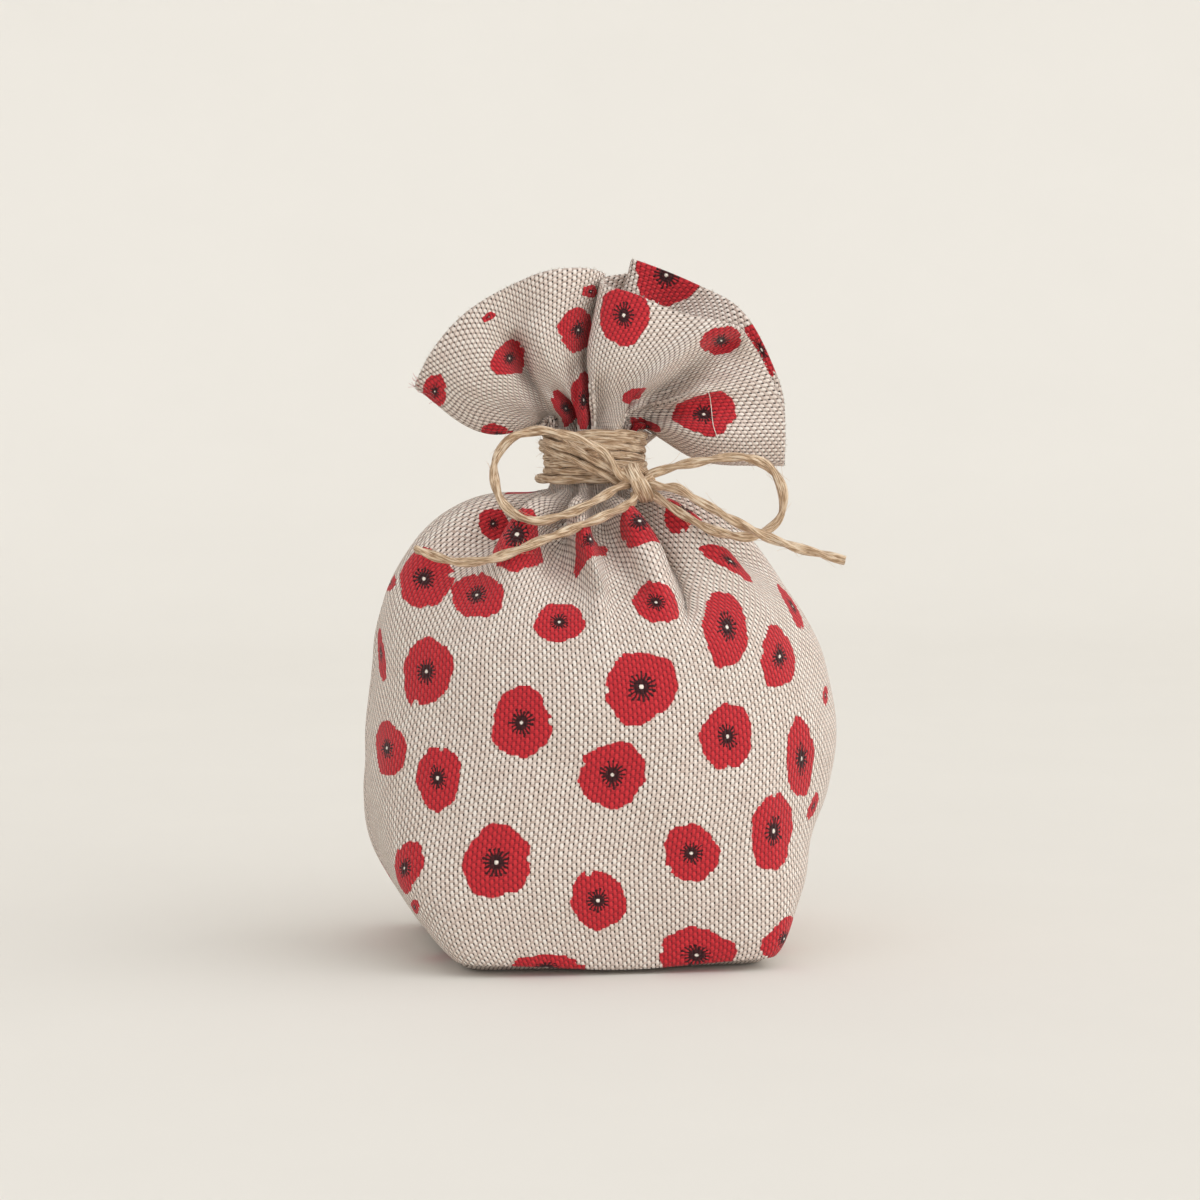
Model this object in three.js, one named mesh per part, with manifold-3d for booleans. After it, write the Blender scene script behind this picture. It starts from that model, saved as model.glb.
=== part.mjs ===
// A small linen gift pouch with a boxed base, stuffed, gathered at the neck and tied with jute twine.
// Units are millimetres, +Z is up, the front panel faces -Y and the origin is the middle of the base.
import * as THREE from "three";
import { mergeVertices } from "three/addons/utils/BufferGeometryUtils.js";
import Module from "manifold-3d";

const wasm = await Module();
wasm.setup();

// Driving dimensions of the pouch.
const CLOTH = 1.2; // thickness of the linen
const GAP = 0.3; // clearance between pieces that touch
const NECK_X = -1; // the tied neck stands a little left of the middle
const NECK_RADIUS = 8.8;
const NECK_BORE = 2.6; // what is left open between the gathered folds
const NECK_LOW = 92.6;
const NECK_HIGH = 105.2;
const COLUMNS = 80; // points round the pouch
const WALL_ROWS = 18; // rings from the base to the neck
const RUFFLE_ROWS = 9; // rings from the neck to the hem

// Driving dimensions of the twine.
const TWINE = 2; // diameter of the slack twine
const TIGHT_TWINE = 1.55; // diameter where it is pulled tight round the neck
const TURN_RISE = 2;
const WINDING_RADIUS = NECK_RADIUS + TIGHT_TWINE / 2 + GAP;

// The body's sections from the base to the neck: height, left, right and depth, and how square it is.
const SECTIONS = [
  { z: 0, left: 28, right: 27, depth: 30, square: 4 },
  { z: 1.6, left: 32.6, right: 31.4, depth: 33.6, square: 12 },
  { z: 11, left: 39.8, right: 36.2, depth: 35, square: 5.5 },
  { z: 22, left: 45.8, right: 40.6, depth: 36.2, square: 3.2 },
  { z: 34, left: 47.3, right: 44.9, depth: 36.8, square: 2.6 },
  { z: 46, left: 46.9, right: 46.8, depth: 36.8, square: 2.4 },
  { z: 58, left: 45.8, right: 44.7, depth: 35.6, square: 2.3 },
  { z: 68, left: 44.2, right: 39.8, depth: 33, square: 2.2 },
  { z: 76, left: 41.6, right: 33.8, depth: 28.6, square: 2.1 },
  { z: 83, left: 36, right: 27.8, depth: 22.6, square: 2 },
  { z: 88, left: 29.8, right: 20.8, depth: 16.8, square: 2 },
  { z: 91, left: 19.6, right: 14, depth: 11.6, square: 2 },
  { z: NECK_LOW, left: NECK_RADIUS - NECK_X, right: NECK_RADIUS + NECK_X, depth: NECK_RADIUS, square: 2 },
];

// The folds of the shoulder, in turn round the neck. For each of the heights: its bearing in degrees, with
// the front at -90, and how far it stands out from the section or, below 0, falls in.
const FOLD_HEIGHTS = [91, 86, 81, 75, 70, 63];
const FOLDS = [
  { at: [-166, -166, -168, -170, -172, -174], out: [0.3, 0.6, 0.8, 0.6, 0.2, 0] },
  { at: [-156, -150, -146, -145, -146, -147], out: [-2, -3.2, -3, -2, -1, 0] },
  { at: [-141, -135, -130, -127, -126, -126], out: [0.5, 1, 0.8, 0.4, 0.1, 0] },
  { at: [-126, -117, -110, -103, -100, -99], out: [-3, -4.8, -4.5, -2.8, -1.2, 0] },
  { at: [-115, -105, -100, -97, -96, -96], out: [1, 1.6, 1, 0.8, 0.2, 0] },
  { at: [-94, -92, -91, -91, -92, -92], out: [-2.8, -3.8, -3.4, -2.3, -1, 0] },
  { at: [-80, -74, -71, -70, -70, -70], out: [0.8, 1.6, 1.6, 1, 0.3, 0] },
  { at: [-62, -61, -61, -62, -64, -66], out: [-2.6, -3.8, -4, -3, -1.6, 0] },
  { at: [-46, -43, -39, -36, -34, -34], out: [0.5, 0.9, 0.8, 0.4, 0.1, 0] },
  { at: [-30, -27, -24, -22, -21, -20], out: [-1.8, -2.4, -1.8, -0.8, -0.2, 0] },
  { at: [-14, -12, -10, -8, -7, -6], out: [0.2, 0.5, 0.6, 0.3, 0, 0] },
  { at: [6, 8, 9, 10, 10, 10], out: [-1.8, -2.6, -2.2, -1.2, -0.3, 0] },
  { at: [24, 26, 28, 29, 30, 30], out: [0.6, 1, 1, 0.6, 0.2, 0] },
  { at: [42, 44, 45, 45, 45, 45], out: [-2.8, -4.2, -3.8, -2.2, -0.8, 0] },
  { at: [60, 60, 60, 60, 60, 60], out: [0.8, 1.4, 1.2, 0.6, 0.1, 0] },
  { at: [76, 75, 73, 71, 70, 70], out: [-3, -4.8, -4.4, -2.6, -1, 0] },
  { at: [92, 90, 88, 86, 85, 85], out: [0.8, 1.6, 1.4, 0.8, 0.2, 0] },
  { at: [108, 107, 105, 103, 102, 102], out: [-2.8, -4.6, -4, -2.4, -1, 0] },
  { at: [124, 124, 123, 122, 122, 122], out: [0.6, 1.2, 1.2, 0.7, 0.2, 0] },
  { at: [141, 142, 143, 143, 143, 143], out: [-2.6, -3.8, -3.4, -2, -0.8, 0] },
  { at: [160, 161, 162, 163, 164, 164], out: [0.4, 0.8, 0.8, 0.5, 0.1, 0] },
  { at: [180, 178, 176, 175, 174, 174], out: [-1.4, -1.8, -1.4, -0.6, -0.1, 0] },
];
const FOLD_FADE = 6; // how far from the neck the folds have their full depth

// The ruffle's folds, from the left seam across the front and back across the rear: the share of the way
// round, the bearing at the neck, the place halfway up and the place on the hem.
const RUFFLE = [
  { share: 0, bearing: 180, middle: [-22.4, 0, 103.6], hem: [-36.6, 0, 112.9] },
  { share: 0.045, bearing: 200, middle: [-25.8, -6, 110.4], hem: [-35.2, -5, 118.6] },
  { share: 0.1, bearing: 212, middle: [-20.4, -8, 116], hem: [-28.2, -7.5, 127.6] },
  { share: 0.145, bearing: 224, middle: [-15.6, -4.2, 118], hem: [-19.6, -7, 132.8] },
  { share: 0.19, bearing: 238, middle: [-10.3, -9.5, 121], hem: [-10.8, -9, 136.4] },
  { share: 0.225, bearing: 249, middle: [-5.2, -7, 121.5], hem: [-2, -6, 136.5] },
  { share: 0.243, bearing: 254, middle: [-2.2, -1, 120.4], hem: [1, -1.5, 135.1] },
  { share: 0.264, bearing: 259, middle: [-4.3, -9.5, 119.6], hem: [-0.8, -8.5, 133.6] },
  { share: 0.29, bearing: 269, middle: [-0.7, -13.5, 119.2], hem: [4.7, -12, 131.9] },
  { share: 0.324, bearing: 281, middle: [4.8, -14, 117.6], hem: [12.6, -12.5, 128.5] },
  { share: 0.35, bearing: 290, middle: [8.2, -13.5, 117], hem: [19.2, -12, 126.9] },
  { share: 0.381, bearing: 300, middle: [10.8, -12.5, 115.5], hem: [26.9, -10.5, 124.3] },
  { share: 0.403, bearing: 307, middle: [12.8, -6, 112.9], hem: [30.8, -6, 120.4] },
  { share: 0.425, bearing: 314, middle: [14.7, -9.5, 111.4], hem: [33.1, -6.5, 116] },
  { share: 0.447, bearing: 322, middle: [16.2, -6, 109.1], hem: [35.9, -6, 110] },
  { share: 0.475, bearing: 338, middle: [20.3, -10.2, 103.4], hem: [36.7, -5.5, 102.9] },
  { share: 0.5, bearing: 360, middle: [21.3, 0, 97.4], hem: [37.2, 0, 96.4] },
  { share: 0.535, bearing: 378, middle: [21.4, 7.5, 101.8], hem: [38.6, 4.6, 103.4] },
  { share: 0.585, bearing: 396, middle: [21.6, 7, 111.5], hem: [37.6, 7.6, 113.9] },
  { share: 0.63, bearing: 412, middle: [16.6, 4.4, 119.4], hem: [30.9, 5, 126.3] },
  { share: 0.68, bearing: 430, middle: [11.6, 10.8, 122.4], hem: [21.3, 9, 133.2] },
  { share: 0.725, bearing: 443, middle: [5.2, 6, 123.6], hem: [7.9, 6.4, 138.2] },
  { share: 0.765, bearing: 455, middle: [2.2, 12, 121.4], hem: [9.4, 11.4, 136] },
  { share: 0.81, bearing: 468, middle: [-3.4, 6.6, 120.3], hem: [-1.6, 7.6, 134.4] },
  { share: 0.855, bearing: 480, middle: [-7.8, 11.4, 118.8], hem: [-9.7, 10.4, 132.6] },
  { share: 0.895, bearing: 493, middle: [-12.6, 6, 116], hem: [-17.6, 6.4, 129.2] },
  { share: 0.935, bearing: 508, middle: [-16.6, 8.8, 112.4], hem: [-24.2, 8.6, 123.8] },
  { share: 0.97, bearing: 524, middle: [-19.6, 6, 108.2], hem: [-30.2, 5.4, 117.6] },
];

// The mouth is open between its two layers: how far in front of and behind the seams they stay.
const MOUTH_FRONT = 3.9;
const MOUTH_BACK = 5.1;
const MOUTH_HALF = 13;
const MOUTH_FADE = 9;
const SEAM_CLEAR = 1.6; // how far from the middle the columns beside a seam stay

const SEAM_LINEN = 0xe9e4da;
const LINEN = 0xcbbfb1;
const STUFFING = 0xd9d2c6;
const JUTE = 0xb5986d;

const mix = (a, b, t) => a + (b - a) * t;
const clamp = (x, low, high) => Math.min(high, Math.max(low, x));

// A smooth curve through evenly spaced values, read at u from 0 to 1.
function spline(values, u) {
  const at = clamp(u, 0, 1) * (values.length - 1);
  const i = Math.min(Math.floor(at), values.length - 2);
  const t = at - i;
  const [p0, p1, p2, p3] = [i - 1, i, i + 1, i + 2].map((k) => values[clamp(k, 0, values.length - 1)]);
  const bend = (p3 - 3 * p2 + 3 * p1 - p0) * t + (2 * p0 - 5 * p1 + 4 * p2 - p3);
  return p1 + 0.5 * t * (p2 - p0 + t * bend);
}

// The direction of a column: it goes from the left seam to the front, the right seam and the back.
const angleOf = (column) => Math.PI + (2 * Math.PI * column) / COLUMNS;

// A value at a height, from the values at the fold heights.
function atHeight(values, height) {
  const last = FOLD_HEIGHTS.length - 1;
  if (height >= FOLD_HEIGHTS[0]) return values[0];
  if (height <= FOLD_HEIGHTS[last]) return values[last];
  const i = FOLD_HEIGHTS.findIndex((low) => low <= height) - 1;
  return mix(values[i], values[i + 1], (FOLD_HEIGHTS[i] - height) / (FOLD_HEIGHTS[i] - FOLD_HEIGHTS[i + 1]));
}

// How far the shoulder's folds stand out at a bearing in degrees and a height.
function foldOut(bearing, height) {
  const folds = FOLDS.map((fold) => [atHeight(fold.at, height), atHeight(fold.out, height)]);
  const [first, last] = [folds[0], folds.at(-1)];
  folds.unshift([last[0] - 360, last[1]]);
  folds.push([first[0] + 360, first[1]]);
  const wrapped = ((bearing + 540) % 360) - 180;
  const i = folds.findIndex(([at]) => at > wrapped) - 1;
  const t = (wrapped - folds[i][0]) / (folds[i + 1][0] - folds[i][0]);
  return mix(folds[i][1], folds[i + 1][1], 0.5 - 0.5 * Math.cos(Math.PI * t));
}

function superellipse(angle, left, right, depth, square) {
  const c = Math.cos(angle);
  const s = Math.sin(angle);
  const reach = (Math.abs(c) ** square + Math.abs(s) ** square) ** (-1 / square);
  return [(c < 0 ? left : right) * c * reach, depth * s * reach];
}

// One ring of the body at u from 0 at the base to 1 at the neck, without its folds.
function plainRing(u) {
  const read = (key) => spline(SECTIONS.map((section) => section[key]), u);
  return Array.from({ length: COLUMNS }, (_, column) => {
    const [x, y] = superellipse(angleOf(column), read("left"), read("right"), read("depth"), read("square"));
    return new THREE.Vector3(x, y, read("z"));
  });
}

// The same ring with the shoulder's folds in it. They fade out towards the neck.
function bodyRing(u) {
  const ring = plainRing(u);
  const normals = normalsOf([plainRing(Math.max(u - 0.01, 0)), ring, plainRing(Math.min(u + 0.01, 1))])[1];
  return ring.map((p, column) => {
    const bearing = THREE.MathUtils.radToDeg(Math.atan2(p.y, p.x - NECK_X));
    const [before, here, after] = [-4, 0, 4].map((degrees) => foldOut(bearing + degrees, p.z));
    const fade = THREE.MathUtils.smoothstep(Math.hypot(p.x - NECK_X, p.y) - NECK_RADIUS, 0, FOLD_FADE);
    return p.addScaledVector(normals[column], (fade * (before + 2 * here + after)) / 4);
  });
}

const neckPoint = (angle, z) =>
  new THREE.Vector3(NECK_X + NECK_RADIUS * Math.cos(angle), NECK_RADIUS * Math.sin(angle), z);
const neckRing = (z) => Array.from({ length: COLUMNS }, (_, column) => neckPoint(angleOf(column), z));

const toVectors = (points) => points.map((p) => new THREE.Vector3(...p));

function hermite(a, b, leave, arrive, t) {
  const point = a.clone().multiplyScalar(2 * t ** 3 - 3 * t ** 2 + 1);
  point.addScaledVector(leave, t ** 3 - 2 * t ** 2 + t);
  point.addScaledVector(b, 3 * t ** 2 - 2 * t ** 3);
  return point.addScaledVector(arrive, t ** 3 - t ** 2);
}

// A point of the closed smooth curve through the ruffle's places of one kind, at a share of the way round.
function aroundRuffle(kind, share) {
  const count = RUFFLE.length;
  const shareOf = (i) => RUFFLE[(i + count) % count].share + Math.floor(i / count);
  const placeOf = (i) => new THREE.Vector3(...RUFFLE[(i + count) % count][kind]);
  const slope = (i) => placeOf(i + 1).sub(placeOf(i)).divideScalar(shareOf(i + 1) - shareOf(i));
  const tangent = (i) => {
    const [before, after] = [shareOf(i) - shareOf(i - 1), shareOf(i + 1) - shareOf(i)];
    return slope(i - 1).multiplyScalar(after).addScaledVector(slope(i), before).divideScalar(before + after);
  };
  const i = RUFFLE.findLastIndex((fold) => fold.share <= share);
  const step = shareOf(i + 1) - shareOf(i);
  const [leave, arrive] = [tangent(i), tangent(i + 1)].map((v) => v.multiplyScalar(step));
  return hermite(placeOf(i), placeOf(i + 1), leave, arrive, (share - shareOf(i)) / step);
}

// The direction of the ruffle's column where it leaves the neck.
function ruffleBearing(share) {
  const i = RUFFLE.findLastIndex((fold) => fold.share <= share);
  const from = RUFFLE[i];
  const to = RUFFLE[i + 1] ?? { share: 1, bearing: 540 };
  return mix(from.bearing, to.bearing, (share - from.share) / (to.share - from.share));
}

// Keeps a point of the ruffle on its side of the seams and clear of the mouth.
function onItsSide(p, column) {
  if (column % (COLUMNS / 2) === 0) return p.setY(0);
  const side = column < COLUMNS / 2 ? -1 : 1;
  const open = 1 - THREE.MathUtils.smoothstep(Math.abs(p.x), MOUTH_HALF, MOUTH_HALF + MOUTH_FADE);
  const least = Math.max(open * (side < 0 ? MOUTH_FRONT : MOUTH_BACK), SEAM_CLEAR);
  return p.setY(side * Math.max(side * p.y, least));
}

// One ring of the ruffle: each column leaves the neck upwards, or sideways at the seams, and goes through
// its place halfway up to its place on the hem.
function ruffleRing(t) {
  return Array.from({ length: COLUMNS }, (_, column) => {
    const share = column / COLUMNS;
    const bearing = THREE.MathUtils.degToRad(ruffleBearing(share));
    const foot = neckPoint(bearing, NECK_HIGH);
    if (t === 0) return foot;
    const [middle, hem] = ["middle", "hem"].map((kind) => aroundRuffle(kind, share));
    const [across, aside] = [Math.cos(bearing), Math.abs(Math.cos(bearing)) ** 6];
    const leave = new THREE.Vector3(4 * across, 4 * Math.sin(bearing), 14).multiplyScalar(1 - aside);
    leave.x += 15 * Math.sign(across) * aside;
    const through = hem.clone().sub(foot).multiplyScalar(0.5);
    const p =
      t < 0.5
        ? hermite(foot, middle, leave, through, 2 * t)
        : hermite(middle, hem, through, hem.clone().sub(middle), 2 * t - 1);
    return onItsSide(p, column);
  });
}

function allRings() {
  const rings = [];
  for (let i = 0; i < WALL_ROWS; i++) rings.push(bodyRing(i / WALL_ROWS));
  rings.push(neckRing(NECK_LOW));
  for (let i = 0; i <= RUFFLE_ROWS; i++) rings.push(ruffleRing(i / RUFFLE_ROWS));
  return rings;
}

// The outward normal of each point of a stack of rings.
function normalsOf(rings) {
  return rings.map((ring, i) =>
    ring.map((_, j) => {
      const below = rings[Math.max(i - 1, 0)][j];
      const above = rings[Math.min(i + 1, rings.length - 1)][j];
      const before = ring[(j + ring.length - 1) % ring.length];
      const after = ring[(j + 1) % ring.length];
      return after.clone().sub(before).cross(above.clone().sub(below)).normalize();
    }),
  );
}

// A closed solid from a stack of rings, its ends closed by strips from the front half to the back half.
function loft(rings) {
  const count = rings[0].length;
  const positions = rings.flatMap((ring) => ring.flatMap((p) => p.toArray()));
  const faces = [];
  const corner = (i, j) => i * count + (j % count);
  for (let i = 0; i + 1 < rings.length; i++)
    for (let j = 0; j < count; j++) {
      faces.push(corner(i, j), corner(i, j + 1), corner(i + 1, j + 1));
      faces.push(corner(i, j), corner(i + 1, j + 1), corner(i + 1, j));
    }
  for (const [i, upwards] of [[0, false], [rings.length - 1, true]])
    for (let j = 0; j < count / 2; j++) {
      const [a, b] = [corner(i, j), corner(i, j + 1)];
      const [c, d] = [corner(i, count - j - 1), corner(i, count - j)];
      if (b !== c) faces.push(...(upwards ? [a, b, c] : [a, c, b]));
      if (a !== d) faces.push(...(upwards ? [a, c, d] : [a, d, c]));
    }
  const geometry = new THREE.BufferGeometry();
  geometry.setAttribute("position", new THREE.Float32BufferAttribute(positions, 3));
  geometry.setIndex(faces);
  return geometry;
}

function toSolid(geometry) {
  const bare = geometry.clone();
  bare.deleteAttribute("normal");
  bare.deleteAttribute("uv");
  const merged = mergeVertices(bare, 1e-4);
  return new wasm.Manifold(
    new wasm.Mesh({
      numProp: 3,
      vertProperties: new Float32Array(merged.attributes.position.array),
      triVerts: new Uint32Array(merged.index.array),
    }),
  );
}

function toGeometry(solid) {
  const mesh = solid.getMesh();
  const geometry = new THREE.BufferGeometry();
  geometry.setAttribute("position", new THREE.BufferAttribute(new Float32Array(mesh.vertProperties), 3));
  geometry.setIndex(new THREE.BufferAttribute(new Uint32Array(mesh.triVerts), 1));
  geometry.computeVertexNormals();
  return geometry;
}

function boxSolid(low, high) {
  const size = high.map((value, k) => value - low[k]);
  const box = new THREE.BoxGeometry(...size);
  box.translate(...high.map((value, k) => (value + low[k]) / 2));
  return toSolid(box);
}

// The outer rings moved inwards by the cloth. Front points stay in front of the seams, rear points behind.
function innerRings(rings, thicknessOf) {
  const normals = normalsOf(rings);
  return rings.map((ring, i) =>
    ring.map((p, j) => {
      const moved = p.clone().addScaledVector(normals[i][j], -thicknessOf(i));
      const side = j === 0 || j === COLUMNS / 2 ? 0 : j < COLUMNS / 2 ? -1 : 1;
      moved.y = side * Math.max(side * moved.y, GAP / 2);
      return moved;
    }),
  );
}

// How thick the cloth is at a ring: gathered nearly solid in the neck, one layer from two rings away.
const FADE_ROWS = 2;

function clothAt(row) {
  const gathered = NECK_RADIUS - NECK_BORE;
  const neckMiddle = WALL_ROWS + 0.5;
  const away = Math.abs(row - neckMiddle) - 0.5;
  return mix(gathered, CLOTH, clamp(away / FADE_ROWS, 0, 1));
}

const OUTER = allRings();
const PAST_HEM = 4; // how far the hollow is cut beyond the hem

// The hollow of the pouch: from just above the base to past the hem, so that the mouth is open.
function hollowSolid() {
  const inner = innerRings(OUTER, clothAt);
  inner[0].forEach((p) => (p.z = CLOTH));
  inner[1].forEach((p) => (p.z = Math.max(p.z, 2 * CLOTH)));
  const [last, before] = [inner.at(-1), inner.at(-2)];
  const past = last.map((p, j) => p.clone().addScaledVector(p.clone().sub(before[j]).normalize(), PAST_HEM));
  return toSolid(loft([...inner, past]));
}

function panelSolid(side) {
  const reach = 80;
  const near = side * (GAP / 2);
  const [low, high] = side < 0 ? [-reach, near] : [near, reach];
  const half = boxSolid([-reach, low, -1], [reach, high, 2 * reach]);
  return toSolid(loft(OUTER)).subtract(hollowSolid()).intersect(half);
}

// The turned-in seam along one side: two layers of cloth that follow the wall from the base to the shoulder.
const SEAM_DEPTH = 5;
const SEAM_THICK = 1.8;
const SEAM_SPAN = [0.16, 0.61]; // where it starts and ends between the base and the neck

// With some growth it is the room for the seam in the stuffing, open on its outer side.
function sideSeamSolid(key, sign, grow) {
  const reach = (u) => spline(SECTIONS.map((section) => section[key]), u);
  const height = (u) => spline(SECTIONS.map((section) => section.z), u);
  const steps = 14;
  const at = Array.from({ length: steps + 1 }, (_, i) => mix(SEAM_SPAN[0], SEAM_SPAN[1], i / steps));
  const clear = CLOTH + 3.5 * GAP;
  const outside = at.map((u) => [reach(u) - (grow > 0 ? 0 : clear), height(u)]);
  const inside = at.map((u) => [reach(u) - clear - SEAM_DEPTH - 2 * grow, height(u)]);
  outside[0][1] -= grow;
  inside[0][1] -= grow;
  outside.at(-1)[1] += grow;
  inside.at(-1)[1] += grow;
  const outline = new THREE.Shape([...outside, ...inside.reverse()].map((p) => new THREE.Vector2(...p)));
  const thick = SEAM_THICK + 2 * grow;
  const strip = new THREE.ExtrudeGeometry(outline, { depth: thick, bevelEnabled: false, steps: 1 });
  strip.rotateX(Math.PI / 2);
  strip.translate(0, thick / 2, 0);
  if (sign < 0) strip.rotateZ(Math.PI);
  return toSolid(strip);
}

const BASE_SEAM_HALF = 24;

function baseSeamSolid(grow) {
  const half = SEAM_THICK / 2 + grow;
  const [low, high] = [CLOTH + GAP - grow, CLOTH + GAP + SEAM_DEPTH + grow];
  return boxSolid([-BASE_SEAM_HALF - grow, -half, low], [BASE_SEAM_HALF + grow, half, high]);
}

const FILLED_ROWS = 15; // the rings of the body that the stuffing reaches
const FILLED_TOP = 84; // the height of its low dome
const DOME_SHARE = 0.6; // how wide the dome's top is

// The stuffing fills the body up to the shoulder, with room for the seams.
function fillingSolid() {
  const normals = normalsOf(OUTER);
  const clear = CLOTH + 2.5 * GAP;
  const body = OUTER.slice(0, FILLED_ROWS);
  const rings = body.map((ring, i) => ring.map((p, j) => p.clone().addScaledVector(normals[i][j], -clear)));
  rings[0].forEach((p) => (p.z = CLOTH + GAP));
  rings[1].forEach((p) => (p.z = Math.max(p.z, 2 * CLOTH + GAP)));
  const domePoint = (p) => new THREE.Vector3(mix(NECK_X, p.x, DOME_SHARE), DOME_SHARE * p.y, FILLED_TOP);
  return toSolid(loft([...rings, rings.at(-1).map(domePoint)]))
    .subtract(sideSeamSolid("left", -1, GAP))
    .subtract(sideSeamSolid("right", 1, GAP))
    .subtract(baseSeamSolid(GAP));
}

// Twine follows a curve with a round section.
class Route extends THREE.Curve {
  constructor(pointAt) {
    super();
    this.pointAt = pointAt;
  }
  getPoint(t) {
    return this.pointAt(t);
  }
}

function twineGeometry(curve, diameter, sides, steps) {
  const corners = Array.from({ length: sides }, (_, i) => (2 * Math.PI * i) / sides);
  const round = corners.map((a) => new THREE.Vector2(Math.cos(a), Math.sin(a)).multiplyScalar(diameter / 2));
  return new THREE.ExtrudeGeometry(new THREE.Shape(round), { steps, extrudePath: curve, curveSegments: 1 });
}

// The knot sits on the front of the winding, to the right of the middle.
const KNOT = new THREE.Vector3(5.4, -14.2, 95);
const KNOT_SIZE = [6, 5, 8.8];

function knotGeometry() {
  const knot = new THREE.SphereGeometry(0.5, 20, 14);
  const place = knot.getAttribute("position");
  for (let i = 0; i < place.count; i++) {
    const [x, y, z] = [place.getX(i), place.getY(i), place.getZ(i)];
    const waist = 1 - 0.16 * Math.exp(-((z * 6) ** 2)); // drawn in where the bow passes through it
    place.setXYZ(i, x * waist * KNOT_SIZE[0], y * waist * KNOT_SIZE[1], z * KNOT_SIZE[2]);
  }
  knot.translate(...KNOT.toArray());
  return knot;
}

// The winding climbs round the neck from behind the knot, and its last stretch comes down across the front.
const WINDING_START = (305 / 180) * Math.PI;
const WINDING_TURNS = 4.72;
const WINDING_LOW = NECK_LOW + 1.7;
const CROSSING_LIFT = TIGHT_TWINE + 0.6; // how far the last stretch stands off the turns under it
const CROSSING_TURNS = 0.2;

function windingPoint(t) {
  const turns = t * (WINDING_TURNS + CROSSING_TURNS);
  const wound = Math.min(turns, WINDING_TURNS);
  const crossing = Math.max(turns - WINDING_TURNS, 0) / CROSSING_TURNS;
  const lift = THREE.MathUtils.smoothstep(turns, WINDING_TURNS - 0.22, WINDING_TURNS);
  const angle = WINDING_START + 2 * Math.PI * turns;
  const radius = WINDING_RADIUS + CROSSING_LIFT * lift;
  const top = WINDING_LOW + TURN_RISE * wound;
  const z = mix(top, KNOT.z + 4.4, THREE.MathUtils.smoothstep(crossing, 0, 1));
  return new THREE.Vector3(NECK_X + radius * Math.cos(angle), radius * Math.sin(angle), z);
}

const WINDING = new Route(windingPoint);

// The least clear space between two stretches of the winding that aren't neighbours along it.
function leastGap() {
  const steps = 600;
  const points = Array.from({ length: steps + 1 }, (_, i) => WINDING.getPoint(i / steps));
  const apart = 60;
  let least = Infinity;
  points.forEach((p, i) => {
    for (let k = i + apart; k < points.length; k++) least = Math.min(least, p.distanceTo(points[k]));
  });
  return least - TIGHT_TWINE;
}

// The routes of the bow, each from the knot outwards.
const LOOP_LEFT = [
  [1.8, -15, 96.4],
  [-1.4, -14.8, 100.8],
  [-5.4, -14.2, 103],
  [-10, -13.4, 104.4],
  [-15, -12.4, 104.8],
  [-19.4, -11.8, 103.2],
  [-22.2, -12, 99.8],
  [-22.8, -13.4, 95.6],
  [-21.8, -16, 91.6],
  [-19.2, -19, 88.8],
  [-15.4, -20.8, 87.8],
  [-10.8, -20.8, 88.6],
  [-5.8, -19.8, 90.4],
  [-1.6, -17.8, 92.4],
  [1.8, -16, 94],
];
const LOOP_RIGHT = [
  [8.8, -15, 96.6],
  [12.6, -16.2, 97.8],
  [17.4, -17.2, 98.8],
  [22.2, -18, 99.6],
  [26.6, -18.4, 99.6],
  [30.6, -18.6, 98],
  [33.2, -18.8, 94.6],
  [33.8, -19, 90.8],
  [32.6, -19.4, 87.2],
  [29.2, -20, 84.8],
  [24.8, -20.6, 84.2],
  [19.8, -20.8, 85.4],
  [15.2, -20, 87.6],
  [11.4, -18, 90.2],
  [8.6, -15.8, 92.2],
];
const TAIL_LEFT = [
  [4, -17.4, 91],
  [-0.2, -19.8, 89.2],
  [-5.2, -22, 87.4],
  [-10.6, -23.6, 85.6],
  [-15.8, -24.4, 83.8],
  [-20.8, -24.4, 81.8],
  [-25.6, -23.2, 80.4],
  [-30.2, -21, 79.8],
  [-34.4, -18, 80.6],
  [-38.4, -14.6, 82],
];
const TAIL_RIGHT = [
  [9.6, -17.6, 94],
  [12.8, -20.4, 93.6],
  [16.4, -22.8, 91.4],
  [20.6, -24.6, 89],
  [25, -25.6, 86.6],
  [29.6, -26.2, 84.4],
  [34.4, -26.6, 82.6],
  [39.6, -26.8, 81.2],
  [44.6, -27, 79.8],
];

// A step every two diameters or so keeps the tube round through its bends.
function freeTwine(points) {
  const curve = new THREE.CatmullRomCurve3(toVectors(points));
  return twineGeometry(curve, TWINE, 8, Math.round(curve.getLength() / (2 * TWINE)));
}

const pouch = new THREE.Group();

function add(name, geometry, color, roughness) {
  const mesh = new THREE.Mesh(geometry, new THREE.MeshStandardMaterial({ color, roughness, metalness: 0 }));
  mesh.name = name;
  pouch.add(mesh);
}

add("front_panel", toGeometry(panelSolid(-1)), LINEN, 0.9);
add("back_panel", toGeometry(panelSolid(1)), LINEN, 0.9);
add("left_side_seam", toGeometry(sideSeamSolid("left", -1, 0)), SEAM_LINEN, 0.9);
add("right_side_seam", toGeometry(sideSeamSolid("right", 1, 0)), SEAM_LINEN, 0.9);
add("base_seam", toGeometry(baseSeamSolid(0)), SEAM_LINEN, 0.9);
add("filling", toGeometry(fillingSolid()), STUFFING, 1);
add("neck_winding", twineGeometry(WINDING, TIGHT_TWINE, 6, 24 * 5), JUTE, 0.85);
add("bow_knot", knotGeometry(), JUTE, 0.85);
add("bow_loop_left", freeTwine(LOOP_LEFT), JUTE, 0.85);
add("bow_loop_right", freeTwine(LOOP_RIGHT), JUTE, 0.85);
add("twine_tail_left", freeTwine(TAIL_LEFT), JUTE, 0.85);
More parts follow.
